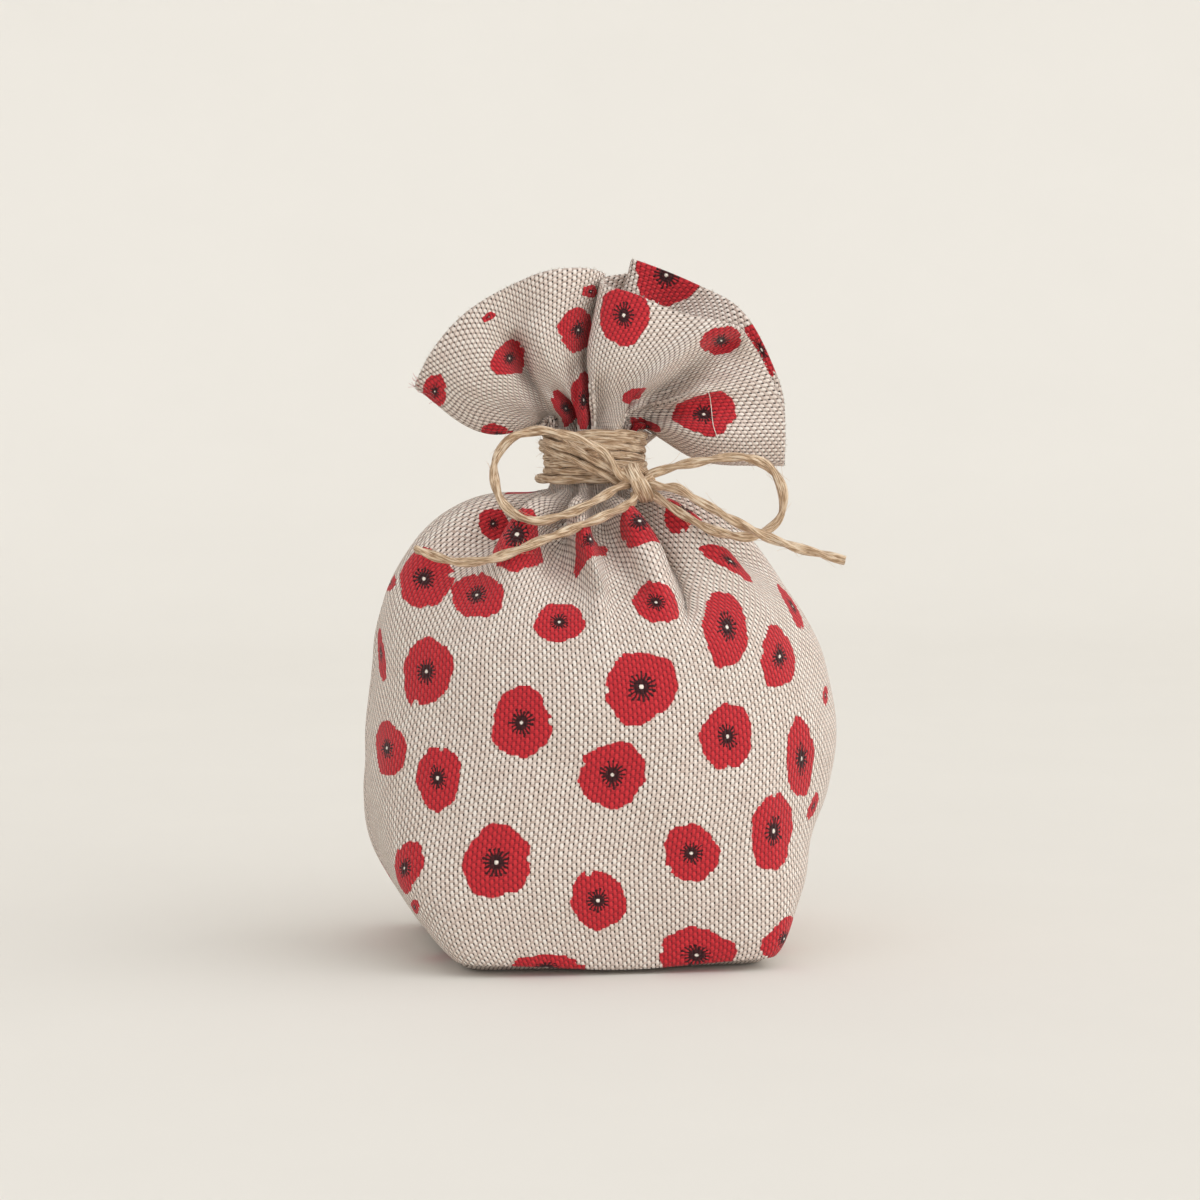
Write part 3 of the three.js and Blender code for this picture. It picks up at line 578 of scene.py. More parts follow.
# The ruffle's folds, from the left seam across the front and back across the rear: the share of the way round,
# the bearing at the neck and how far the cloth is folded in there, the place halfway up and the place on the hem.
RUFFLE = [
    (0.000, 180, 0.0, (-22.4, 0.0, 103.6), (-36.6, 0.0, 112.9)),
    (0.045, 200, 0.0, (-25.8, -6.0, 110.4), (-35.2, -5.0, 118.6)),
    (0.100, 212, 1.0, (-20.4, -8.0, 116.0), (-28.2, -7.5, 127.6)),
    (0.145, 224, 5.0, (-15.6, -4.2, 118.0), (-19.6, -7.0, 132.8)),
    (0.190, 238, 0.0, (-10.3, -9.5, 121.0), (-10.8, -9.0, 136.4)),
    (0.225, 249, 2.0, (-5.2, -7.0, 121.5), (-2.0, -6.0, 136.5)),
    (0.243, 254, 6.5, (-2.2, -1.0, 120.4), (1.0, -1.5, 135.1)),
    (0.264, 259, 0.0, (-4.3, -9.5, 119.6), (-0.8, -8.5, 133.6)),
    (0.290, 269, 0.5, (-0.7, -13.5, 119.2), (4.7, -12.0, 131.9)),
    (0.324, 281, 0.5, (4.8, -14.0, 117.6), (12.6, -12.5, 128.5)),
    (0.350, 290, 0.5, (8.2, -13.5, 117.0), (19.2, -12.0, 126.9)),
    (0.381, 300, 0.0, (10.8, -12.5, 115.5), (26.9, -10.5, 124.3)),
    (0.403, 307, 6.0, (12.8, -6.0, 112.9), (30.8, -6.0, 120.4)),
    (0.425, 314, 1.0, (14.7, -9.5, 111.4), (33.1, -6.5, 116.0)),
    (0.447, 322, 6.0, (16.2, -6.0, 109.1), (35.9, -6.0, 110.0)),
    (0.475, 338, 0.0, (20.3, -10.2, 103.4), (36.7, -5.5, 102.9)),
    (0.500, 360, 0.5, (21.3, -2.0, 97.4), (37.2, -1.5, 96.4)),
    (0.535, 378, 0.0, (21.4, 7.5, 101.8), (38.6, 4.6, 103.4)),
    (0.585, 396, 2.0, (21.6, 7.0, 111.5), (37.6, 7.6, 113.9)),
    (0.630, 412, 6.0, (16.6, 4.4, 119.4), (30.9, 5.0, 126.3)),
    (0.680, 430, 0.0, (11.6, 10.8, 122.4), (21.3, 9.0, 133.2)),
    (0.725, 443, 6.0, (5.2, 6.0, 123.6), (7.9, 6.4, 138.2)),
    (0.765, 455, 0.0, (2.2, 12.0, 121.4), (9.4, 11.4, 136.0)),
    (0.810, 468, 6.0, (-3.4, 6.6, 120.3), (-1.6, 7.6, 134.4)),
    (0.855, 480, 0.0, (-7.8, 11.4, 118.8), (-9.7, 10.4, 132.6)),
    (0.895, 493, 6.0, (-12.6, 6.0, 116.0), (-17.6, 6.4, 129.2)),
    (0.935, 508, 0.0, (-16.6, 8.8, 112.4), (-24.2, 8.6, 123.8)),
    (0.970, 524, 2.0, (-19.6, 6.0, 108.2), (-30.2, 5.4, 117.6)),
]
SHARES, BEARINGS, FOLDED_IN, HALFWAY, HEM = map(np.array, zip(*RUFFLE))
BEARINGS = np.radians(BEARINGS)
BASE_WIDTH = 64.0
BASE_HALF = 33.5  # from the base's seam to its edge
BASE_LIFT = 1.5  # how far the base's edges are off the floor beyond their section's height
BASE_SAG = 2.3  # how far the middles of the base's edges hang under its lifted corners
BASE_FADE = 4.0  # over what height both fade
RING_POINTS = 1440
PROBES = 400  # how many sections tell how far up the wall each row is


def section(u, bearing):
    """The body's outline at u, from 0 at the base to 1 at the neck."""
    height, left, right, depth, square = (float(spline(SECTIONS[:, k], np.array(u))) for k in range(5))
    c, s = np.cos(bearing), np.sin(bearing)
    reach = (np.abs(c) ** square + np.abs(s) ** square) ** (-1 / square)
    x = np.where(c < 0, left, right) * c * reach
    y = depth * s * reach
    fade = math.exp(-height / BASE_FADE)
    sag = BASE_SAG * (0.5 + 0.5 * np.cos(4 * np.arctan2(y, x))) * fade
    return np.stack([x, y, height + BASE_LIFT * fade - np.minimum(sag, height)], -1)


def fold_out(bearing, height):
    """How far the shoulder's folds stand out at bearings in degrees and one height."""
    falling = -np.asarray(FOLD_HEIGHTS)
    places, outs = (np.array([np.interp(-height, falling, fold[k]) for fold in FOLDS]) for k in (0, 1))
    places = np.concatenate([places - 360, places, places + 360])
    outs = np.tile(outs, 3)
    i = np.searchsorted(places, bearing, side="right") - 1
    t = (bearing - places[i]) / (places[i + 1] - places[i])
    share = 0.5 - 0.5 * np.cos(np.pi * t)
    return outs[i] * (1 - share) + outs[i + 1] * share


def pleat(bearing):
    """The fine pleats in the neck, from -1 to 0."""
    return -0.5 + 0.5 * np.cos(PLEATS * bearing + waves(PLEAT_WAVES, bearing))


def by_length(ring):
    """Columns at even steps along each half of a closed ring that starts at the left seam."""
    middle = len(ring) // 2
    closed = np.concatenate([ring, ring[:1]])
    halves = []
    for part in (closed[: middle + 1], closed[middle:]):
        run = run_along(part)
        at = np.linspace(0, run[-1], HALF + 1)[:-1]
        halves.append(read_along(part, run, at))
    return np.concatenate(halves)


def wall_rings():
    """The body's rows from the base's edge to the neck, and how far each is from the neck."""
    bearing = math.pi + 2 * math.pi * np.arange(RING_POINTS) / RING_POINTS
    shares = np.linspace(0, 1, PROBES)
    probe = np.array([section(u, np.radians(np.arange(-180.0, 180.0, 45.0))) for u in shares])
    climb = np.concatenate([[0], np.cumsum(np.linalg.norm(np.diff(probe, axis=0), axis=2).mean(1))])
    edge = np.interp(1 / (len(SECTIONS) - 1), shares, climb)
    at = np.linspace(edge, climb[-1], WALL_ROWS + 1)
    rings = []
    for u, left_over in zip(np.interp(at, climb, shares), climb[-1] - at):
        ring = section(u, bearing)
        rise = section(min(u + 0.01, 1), bearing) - section(max(u - 0.01, 0), bearing)
        normal = unit(np.cross(np.roll(ring, -1, 0) - np.roll(ring, 1, 0), rise))
        around = np.arctan2(ring[:, 1], ring[:, 0] - NECK_X)
        out = fold_out(np.degrees(around), ring[:, 2].mean())
        deeper = 1 + FOLD_DEEPER * math.exp(-left_over / FALLING_FADE)
        out = np.where(out < 0, np.maximum(out * deeper, -DEEPEST_FOLD), out * ease(0, RISING_FADE, left_over))
        out = out + PLEAT_DEPTH * math.exp(-left_over / PLEAT_FADE) * pleat(around)
        rings.append(by_length(ring + normal * out[:, None]))
    return rings, climb[-1] - at


def neck_ring(share, height):
    """The neck's folds at one height."""
    radii = NECK_RADIUS - FOLDED_IN
    across = radii * np.cos(BEARINGS)
    drop = NECK_TILT * across * (height - NECK_LOW) / (NECK_HIGH - NECK_LOW)
    return ring_spline(SHARES, np.stack([NECK_X + across, radii * np.sin(BEARINGS), height - drop], -1), share)


# How the ruffle leaves the neck: outwards and upwards in front and behind, and outwards and down at the seams.
LEAVE_UPWARDS = (4.0, 14.0)
LEAVE_SIDEWAYS = (15.0, 6.0)


def drawn_cloth():
    """The cloth as it is laid out: its rows of points, and each row's distance from the neck."""
    rings, from_neck = wall_rings()
    share = EACH_COLUMN / COLUMNS
    bearing = np.interp(share, [*SHARES, 1.0], [*BEARINGS, 3 * math.pi])
    shoulder = rings[-1]
    for k in range(1, NECK_ROWS + 1):
        t = k / NECK_ROWS
        ring = neck_ring(share, NECK_LOW + t * (NECK_HIGH - NECK_LOW))
        ring[:, :2] += (shoulder - ring)[:, :2] * (1 - ease(0, 0.8, t))
        rings.append(ring)
    foot = rings[-1]
    middle = ring_spline(SHARES, HALFWAY, share)
    hem = ring_spline(SHARES, HEM, share)
    across = np.cos(bearing)[:, None]
    aside = np.abs(across) ** 6
    out, up = LEAVE_UPWARDS
    upwards = np.stack([out * np.cos(bearing), out * np.sin(bearing), np.full_like(bearing, up)], -1)
    out, down = LEAVE_SIDEWAYS
    sideways = np.sign(across) * np.array([out, 0, 0]) - np.array([0, 0, down])
    leave = upwards * (1 - aside) + sideways * aside
    through = (hem - foot) * 0.5
    for k in range(1, RUFFLE_ROWS + 1):
        t = 2 * k / RUFFLE_ROWS
        if t < 1:
            rings.append(hermite(foot, middle, leave, through, t))
        else:
            rings.append(hermite(middle, hem, through, hem - middle, t - 1))
    from_neck = np.concatenate([from_neck, np.zeros(NECK_ROWS), np.arange(1, RUFFLE_ROWS + 1) * STEP])
    return np.array(rings), from_neck


# Relaxing the cloth: its yarns take their lengths back, bends even out, and it stays near the drawn shape.
RELAX_STEPS = 300
BENDS = ((1, 0.7), (2, 0.25), (3, 0.07))  # how many steps a bend spans, and how much it is evened out
DRAWN_WAVES = 0.25  # small waves in the drawn cloth, from which it settles
LOOSE_FROM = 0.6  # how far up the wall they start
NECK_SQUEEZE = 0.42  # the yarns' spacing at the neck, as a share of what it is on the wall
SQUEEZE_FROM = 11.0  # how far from the neck they start to close up
FOLLOW_DRAWN = 0.45  # how much the ruffle's spacing follows the drawn one
SHORTEST = 0.4  # the least and the largest spacing of its yarns, and below that the least between its rows
LONGEST = 1.03 * STEP
LEAST_RISE = 0.75 * STEP
RUFFLE_FIRM = 0.25  # how strongly the ruffle's yarns push apart, as a share of how the wall's do
EVENLY = 0.5  # each of two neighbours takes half of what they are too far apart
RISE_PUSH = 0.3  # what each of two yarns, one above the other, takes of what they are too close
SLANT_PULL, SLANT_PUSH = 0.12, 0.06  # the same for slanting neighbours, too far apart and too close
PANELS_APART = 0.5  # how far each panel's ruffle keeps from the plane between them

# How much of the way back to the drawn cloth each row goes in a step: the wall's middle, and what is added low on
# the wall and below the neck; the neck; the ruffle, and what is added at its foot, at the hem and at the seams.
WALL_HOLD, LOW_HOLD, SHOULDER_HOLD = 0.004, 0.25, 0.3
NECK_HOLD = 0.5
RUFFLE_HOLD, FOOT_HOLD, HEM_HOLD, SEAM_HOLD = 0.12, 0.4, 0.04, 0.15


def pull(a, b, rest, when_long, when_short):
    """How far two neighbours move towards each other to be at their rest length."""
    apart = b - a
    length = np.sqrt((apart * apart).sum(-1)) + 1e-9
    give = np.where(length > rest, when_long, when_short)
    return apart * (give * (length - rest) / length)[..., None]


def even_bends(cloth):
    for reach, weight in BENDS:
        bend = np.roll(cloth, reach, 1) + np.roll(cloth, -reach, 1) - 2 * cloth
        cloth -= weight / 16 * (np.roll(bend, reach, 1) + np.roll(bend, -reach, 1) - 2 * bend)
        bend = np.zeros_like(cloth)
        bend[reach:-reach] = cloth[2 * reach :] + cloth[: -2 * reach] - 2 * cloth[reach:-reach]
        spread = -2 * bend
        spread[reach:] += bend[:-reach]
        spread[:-reach] += bend[reach:]
        cloth -= weight / 16 * spread


def relax(cloth, drawn, rest, rest_up, hold, firm):
    slant = np.sqrt(rest[:-1] ** 2 + rest_up**2)
    for _ in range(RELAX_STEPS):
        for first, second in ((0, 1), (1, 0)):
            beside = np.roll(cloth, -1, 1)[:, first::2]
            moved = pull(cloth[:, first::2], beside, rest[:, first::2], EVENLY, EVENLY * firm)
            cloth[:, first::2] += moved
            cloth[:, second::2] -= np.roll(moved, first, 1)
        for first in (0, 1):
            last = first + 2 * ((ROWS - first) // 2)
            lower, upper = slice(first, last, 2), slice(first + 1, last, 2)
            moved = pull(cloth[lower], cloth[upper], rest_up[lower], EVENLY, RISE_PUSH)
            cloth[lower] += moved
            cloth[upper] -= moved
            for way in (1, -1):
                moved = pull(cloth[lower], np.roll(cloth[upper], -way, 1), slant[lower], SLANT_PULL, SLANT_PUSH)
                cloth[lower] += moved
                cloth[upper] -= np.roll(moved, way, 1)
        even_bends(cloth)
        cloth += hold * (drawn - cloth)
        front, back = cloth[NECK_TOP_ROW + 4 :, 1:HALF, 1], cloth[NECK_TOP_ROW + 4 :, HALF + 1 :, 1]
        np.minimum(front, -PANELS_APART, out=front)
        np.maximum(back, PANELS_APART, out=back)
    return cloth


def gathered_cloth():
    drawn, from_neck = drawn_cloth()
    squeeze = NECK_SQUEEZE + (1 - NECK_SQUEEZE) * ease(0, SQUEEZE_FROM, from_neck)
    rest = np.repeat((STEP * squeeze)[:, None], COLUMNS, 1)
    spacing = np.linalg.norm(np.roll(drawn, -1, 1) - drawn, axis=2)
    for _ in range(4):
        spacing = evened(spacing, 1)
    ruffle = slice(NECK_TOP_ROW, None)
    rest[ruffle] = np.clip(FOLLOW_DRAWN * spacing[ruffle] + (1 - FOLLOW_DRAWN) * rest[ruffle], SHORTEST, LONGEST)
    rest_up = np.full((ROWS - 1, COLUMNS), STEP)
    rise = np.linalg.norm(drawn[1:] - drawn[:-1], axis=2)
    rest_up[ruffle] = np.clip(rise[ruffle], LEAST_RISE, STEP)
    firm = np.where(EACH_ROW < NECK_TOP_ROW, 1.0, RUFFLE_FIRM)[:, None]
    hold = np.full(ROWS, NECK_HOLD)
    wall = slice(0, WALL_ROWS + 1)
    hold[wall] = WALL_HOLD + LOW_HOLD * ease(24, 42, from_neck[wall])
    hold[wall] += SHOULDER_HOLD * (1 - ease(0.5, 5, from_neck[wall]))
    up = np.arange(1, RUFFLE_ROWS + 1) / RUFFLE_ROWS
    hold[NECK_TOP_ROW + 1 :] = RUFFLE_HOLD + FOOT_HOLD * (1 - ease(0, 0.12, up)) + HEM_HOLD * ease(0.8, 1, up)
    hold = np.repeat(hold[:, None], COLUMNS, 1)
    seams = np.r_[0:3, HALF - 2 : HALF + 3, COLUMNS - 2 : COLUMNS]
    hold[NECK_TOP_ROW:, seams] += SEAM_HOLD
    cloth = drawn.copy()
    loose = (EACH_ROW > WALL_ROWS * LOOSE_FROM)[:, None]
    cloth[..., 1] += DRAWN_WAVES * slow_noise(6, seed=7) * loose
    return relax(cloth, drawn, rest, rest_up, hold[..., None], firm)


def cloth_normals(cloth):
    return unit(np.cross(np.roll(cloth, -1, 1) - np.roll(cloth, 1, 1), np.gradient(cloth, axis=0)))


SEAM_GROOVE = 0.55
SEAM_WIDTH = 1.3
WALL_WAVES = 0.35
FINE_WAVES = 0.12

# Sharper creases of the front cloth, each along points of the picture: how far it falls in or, below 0, stands
# out, and how wide it is on the left and on the right of its way.
CREASES = [
    (4.6, 0.8, 2.0, [(-17.6, 129.6), (-15.6, 125.0), (-14.2, 119.6), (-11.2, 114.4), (-8.2, 110.4), (-5.6, 106.8)]),
    (-2.4, 2.6, 2.6, [(-15.4, 132.4), (-12.4, 125.8), (-10.8, 120.0), (-8.6, 114.6), (-5.0, 108.0)]),
    (2.8, 0.8, 1.6, [(-5.2, 124.0), (-5.0, 119.0), (-4.7, 114.0), (-4.2, 107.0)]),
    (-1.4, 1.4, 1.4, [(-2.9, 121.0), (-2.6, 115.0), (-2.6, 106.8)]),
    (2.8, 1.6, 0.8, [(-0.4, 121.0), (-0.5, 116.0), (-0.8, 111.0), (-0.8, 106.4)]),
    (-2.6, 2.0, 2.0, [(31.0, 131.0), (20.8, 128.6), (14.4, 122.8), (9.0, 117.6), (4.4, 112.4), (0.8, 107.4)]),
    (4.6, 2.2, 0.8, [(29.0, 127.4), (21.6, 125.4), (15.6, 119.2), (10.4, 114.8), (5.4, 110.4), (2.4, 107.2)]),
    (-2.0, 1.5, 1.5, [(22.6, 118.2), (13.2, 114.9), (7.1, 111.6), (1.8, 106.8)]),
    (3.0, 1.6, 0.8, [(17.0, 113.6), (11.0, 112.2), (7.4, 109.8), (4.0, 106.4)]),
    (3.2, 1.2, 2.4, [(-8.4, 91.8), (-6.4, 87.0), (-3.6, 81.8), (-1.0, 77.2), (0.4, 74.0)]),
    (-1.2, 2.2, 2.2, [(-3.4, 91.8), (-0.6, 85.6), (2.0, 80.4), (3.6, 76.0)]),
    (2.6, 2.2, 1.1, [(-0.6, 93.0), (1.4, 89.6), (4.2, 83.8), (7.2, 78.6), (9.0, 74.0)]),
    (-1.1, 2.2, 2.2, [(4.4, 92.0), (8.4, 86.0), (11.6, 80.0), (13.4, 74.0)]),
    (3.0, 1.2, 2.6, [(7.6, 90.0), (11.2, 85.8), (15.0, 79.7), (16.8, 74.6), (16.9, 69.6)]),
    (-1.0, 2.4, 2.4, [(14.6, 88.0), (19.0, 80.6), (20.6, 73.0)]),
]
CREASE_FADE = 3.5


def crease_depths(cloth):
    """How far each cloth point of the front panel moves away from the camera in the creases."""
    x, y, _ = in_picture(cloth)
    total = np.zeros(x.shape)
    for depth, wide_left, wide_right, line in CREASES:
        line = np.array(line)
        run = run_along(line)
        best, along, on_left = np.full(x.shape, np.inf), np.zeros(x.shape), np.zeros(x.shape, bool)
        for a, b, start, end in zip(line, line[1:], run, run[1:]):
            step = (b - a) / (end - start)
            t = np.clip((x - a[0]) * step[0] + (y - a[1]) * step[1], 0, end - start)
            away = np.hypot(x - a[0] - step[0] * t, y - a[1] - step[1] * t)
            along = np.where(away < best, start + t, along)
            on_left = np.where(away < best, step[0] * (y - a[1]) > step[1] * (x - a[0]), on_left)
            best = np.minimum(best, away)
        fade = ease(0, CREASE_FADE, along) * ease(0, CREASE_FADE, run[-1] - along)
        total += depth * fade * np.exp(-((best / np.where(on_left, wide_left, wide_right)) ** 2))
    inside = ease(0, 6, EACH_COLUMN) * ease(0, 6, HALF - EACH_COLUMN)
    above = ease(WALL_ROWS + 2, NECK_TOP_ROW + 2, EACH_ROW)
    below = 1 - ease(WALL_ROWS - 16, WALL_ROWS - 6, EACH_ROW)
    return total * inside * (above + below)[:, None]


def finished_cloth():
    """The relaxed cloth with its creases, its seams and slow waves where the wall lies against the filling."""
    cloth = gathered_cloth()
    cloth = cloth + CAMERA_FORWARD * crease_depths(cloth)[..., None]
    normal = cloth_normals(cloth)
    to_seam = np.minimum.reduce([EACH_COLUMN, np.abs(EACH_COLUMN - HALF), COLUMNS - EACH_COLUMN]) * STEP
    groove = -SEAM_GROOVE * np.exp(-((to_seam / SEAM_WIDTH) ** 2))
    wavy = WALL_WAVES * slow_noise(40, seed=5) + FINE_WAVES * slow_noise(10, seed=6)
    row = EACH_ROW[:, None]
    wavy = wavy * ease(2, 14, row) * (1 - 0.6 * ease(WALL_ROWS * 0.7, WALL_ROWS, row))
    return cloth + normal * (groove + wavy)[..., None]


cloth_points = finished_cloth()

# The print: scattered red blossoms. On the side that the picture shows, each stands at its place in the picture:
# across from the middle and up from the pouch's lower edge, then how wide and high it looks, how far its notch
# is turned and how far it leans, in degrees.
BLOSSOMS_SEEN = [
    (-35.3, 79.2, 11.6, 12.5, 10, 0), (-24.8, 75.9, 10.6, 9.4, 70, 25), (-16.8, 88.4, 13.0, 15.5, 200, 0),
    (-21.6, 89.8, 6.5, 6.5, 90, 0), (-7.9, 70.7, 11.0, 8.0, 150, 0), (-1.3, 87.2, 7.2, 7.2, 30, 0),
    (8.0, 90.5, 10.6, 7.6, 250, -35), (10.9, 74.2, 10.6, 8.2, 120, -35), (25.8, 83.1, 13.4, 3.1, 300, -37),
    (25.5, 69.9, 9.8, 16.2, 20, 5), (35.9, 63.9, 7.1, 13.3, 170, 0), (8.4, 57.7, 15.3, 15.4, 185, 0),
    (-15.6, 50.9, 12.8, 14.8, 15, -15), (-34.6, 60.7, 10.8, 14.2, 260, -10), (2.8, 39.5, 14.2, 14.0, 160, 0),
    (25.0, 48.1, 11.0, 14.0, 275, 0), (40.3, 42.7, 6.0, 16.4, 40, 0), (-43.1, 45.8, 6.2, 11.3, 200, 0),
    (-32.5, 39.3, 9.5, 13.4, 75, 4), (-21.0, 22.5, 14.6, 15.5, 5, 0), (-39.5, 21.2, 5.9, 11.2, 130, -8),
    (-0.9, 14.5, 12.1, 12.1, 110, 0), (17.7, 24.2, 12.0, 11.8, 215, 0), (34.3, 29.1, 8.8, 16.2, 95, -4),
    (19.5, 3.8, 15.8, 11.3, 170, 0), (37.4, 7.0, 9.6, 4.0, 60, 62), (-10.9, 0.6, 15.0, 5.6, 20, 0),
    (-45.3, 64.2, 1.5, 10.8, 30, 4), (-43.3, 79.1, 1.5, 2.7, 90, 0), (39.7, 73.9, 11.5, 1.6, 10, -62),
    (46.3, 55.7, 1.1, 3.9, 0, 0), (43.7, 34.2, 6.0, 1.5, 80, 70), (-38.0, 13.6, 1.7, 3.2, 0, 0),
    (17.2, 94.4, 8.4, 3.4, 300, -32), (-33.0, 117.0, 5.0, 7.1, 0, 0), (-20.4, 106.6, 7.0, 2.0, 50, -5),
    (-17.5, 123.2, 6.4, 7.6, 45, 0), (-3.9, 129.2, 6.8, 9.4, 190, 0), (4.8, 132.2, 10.3, 13.6, 100, 0),
    (25.0, 125.2, 8.6, 6.3, 220, 10), (20.7, 112.1, 12.9, 9.8, 330, 0), (-6.6, 113.4, 5.8, 9.4, 140, 0),
    (-3.1, 114.8, 5.0, 11.4, 60, 0), (8.0, 114.9, 5.4, 1.9, 20, 38), (8.7, 109.4, 4.3, 4.4, 80, 0),
    (-22.2, 131.7, 3.0, 1.7, 0, 25), (-2.2, 136.8, 3.4, 2.6, 0, 10),
]
BLOSSOMS_BEHIND = [(13.1, 139.8, 15.2, 17.0, 240, 0), (32.0, 125.7, 12.4, 4.2, 10, -63)]
LARGEST = 10.0  # the largest and smallest half widths of a blossom, laid out flat
SMALLEST = 0.9
SLENDER = 1.55  # how many times its middling half width a blossom's longer one may be
BLOSSOM_SPACING = 16.5
SCATTER_CLEAR = 7.2  # how far the other blossoms' middles keep from the cloth that the picture shows
SCATTER_TRIES = 5000
SCATTER_LOW = -34.0  # the base's seam, up the flat panels
SCATTER_SIZES = (5.2, 7.0)
SCATTER_SHAPES = (0.92, 1.12)  # a strewn blossom's height, as a share of its width
NEXT_SEED = 0.618  # how far each blossom's seed is from the one before
SPOT = 1.7  # the size of the spots that the picture is split into to find what it shows
SPOT_DEPTH = 1.5  # how much deeper than a spot's nearest point one may be and still be shown
LAYER = 2.5  # how far apart in depth the points of one layer of cloth may be


def shown_across(first):
    """The places across one panel's ruffle: there its folds take up cloth, and the yarns keep their spacing."""
    columns = np.arange(first, first + HALF + 1) % COLUMNS
    spacing = np.linalg.norm(np.diff(cloth_points[NECK_TOP_ROW + 12 :, columns], axis=1), axis=2).mean(0)
    for _ in range(20):
        spacing = evened(spacing, closed=False)
    run = np.concatenate([[0], np.cumsum(spacing)])
    return run + (first + HALF / 2) * STEP - run[HALF // 2]


def cloth_places():
    """Each cloth point's place in the flat panels, in millimetres: round the pouch and up it."""
    up, across = np.meshgrid(EACH_ROW * STEP, EACH_COLUMN * STEP, indexing="ij")
    in_ruffle = ease(WALL_ROWS, NECK_TOP_ROW, EACH_ROW)[:, None]
    for first in (0, HALF):
        half = slice(first, first + HALF)
        shown = shown_across(first)[:-1]
        across[:, half] = across[:, half] * (1 - in_ruffle) + shown * in_ruffle
    return np.stack([across, up], -1)


def find_in_picture(place, shown, behind=False):
    """The cloth point nearest to a place in the picture, on the nearest layer or on the rear one."""
    x, y, deep = shown
    off = (x - place[0]) ** 2 + (y - place[1]) ** 2
    near = off < max(4.0, off.min() * 1.5)
    order = np.where(near, -deep if behind else deep, np.inf)
    layer = near & (np.abs(deep - deep.ravel()[np.argmin(order)]) < LAYER)
    return np.unravel_index(np.argmin(np.where(layer, off, np.inf)), off.shape)


def turned(degrees):
    c, s = math.cos(math.radians(degrees)), math.sin(math.radians(degrees))
    return np.array([[c, s], [-s, c]])


def flat_form(blossom, shown, places, row, column):
    """The form that looks as wide, high and leaning as a blossom of the picture, laid out flat.

    It is the matrix that takes a step over the flat cloth to a step in the blossom, whose rim is 1 away.
    """
    left, right = max(column - 3, column // HALF * HALF), min(column + 3, (column // HALF + 1) * HALF - 1)
    low, high = max(row - 3, 0), min(row + 3, ROWS - 1)
    across = (places[row, right] - places[row, left])[0]
    up = (places[high, column] - places[low, column])[1]
    look = np.array([
        [(shown[k][row, right] - shown[k][row, left]) / across, (shown[k][high, column] - shown[k][low, column]) / up]
        for k in (0, 1)
    ])
    form = np.diag([2 / blossom[2], 2 / blossom[3]]) @ turned(blossom[5]) @ look
    one, sizes, other = np.linalg.svd(form)
    sizes = np.clip(sizes, 1 / LARGEST, 1 / SMALLEST)
    middling = math.sqrt(sizes[0] * sizes[1])
    return turned(blossom[4]) @ one @ np.diag(np.clip(sizes, middling / SLENDER, middling * SLENDER)) @ other


def lay_blossoms():
    """Every blossom's place in the flat panels, its form and its seed."""
    shown = in_picture(cloth_points)
    places = cloth_places()
    blossoms = []
    for listed, behind in ((BLOSSOMS_SEEN, False), (BLOSSOMS_BEHIND, True)):
        for blossom in listed:
            row, column = find_in_picture(blossom, shown, behind)
            blossoms.append((places[row, column], flat_form(blossom, shown, places, row, column)))
    rng = np.random.default_rng(31)
    kept = np.array([place for place, _ in blossoms])
    seen = places[seen_points()]
    for _ in range(SCATTER_TRIES):
        u, v = rng.uniform(0, ROUND), rng.uniform(SCATTER_LOW, ROWS * STEP)
        if (flat_steps(kept, u, v) > BLOSSOM_SPACING).all() and (flat_steps(seen, u, v) > SCATTER_CLEAR).all():
            kept = np.concatenate([kept, [(u, v)]])
            wide = rng.uniform(*SCATTER_SIZES)
            form = turned(rng.uniform(0, 360)) @ np.diag([1 / wide, 1 / (wide * rng.uniform(*SCATTER_SHAPES))])
            blossoms.append((np.array([u, v]), form))
    return [(place, form, k * NEXT_SEED % 1) for k, (place, form) in enumerate(blossoms)]


def flat_steps(places, u, v):
    """How far places in the flat panels are from the place at u and v, the shorter way round."""
    return np.hypot((places[:, 0] - u + ROUND / 2) % ROUND - ROUND / 2, places[:, 1] - v)


def seen_points():
    """Whether the picture shows each cloth point: no other point covers its spot much nearer to the camera."""
    x, y, deep = in_picture(cloth_points)
    across = np.round((x - x.min()) / SPOT).astype(int)
    up = np.round((y - y.min()) / SPOT).astype(int)
    nearest = np.full((across.max() + 1, up.max() + 1), np.inf)
    np.minimum.at(nearest, (across, up), deep)
    return deep < nearest[across, up] + SPOT_DEPTH


blossoms = lay_blossoms()


# The print and the weave as node graphs.
class Number:
    """A number in a node graph, so that the graph's formulas read as formulas."""

    def __init__(self, graph, socket):
        self.graph = graph
        self.socket = socket

    def __abs__(self):
        return self.graph.math("ABSOLUTE", self)


def operator(operation, swapped=False):
    """A sign of the formulas, as a node of the graph."""
    return lambda a, b: a.graph.math(operation, *((b, a) if swapped else (a, b)))


for name, operation in (("add", "ADD"), ("sub", "SUBTRACT"), ("mul", "MULTIPLY"), ("truediv", "DIVIDE")):
    setattr(Number, f"__{name}__", operator(operation))
    setattr(Number, f"__r{name}__", operator(operation, True))


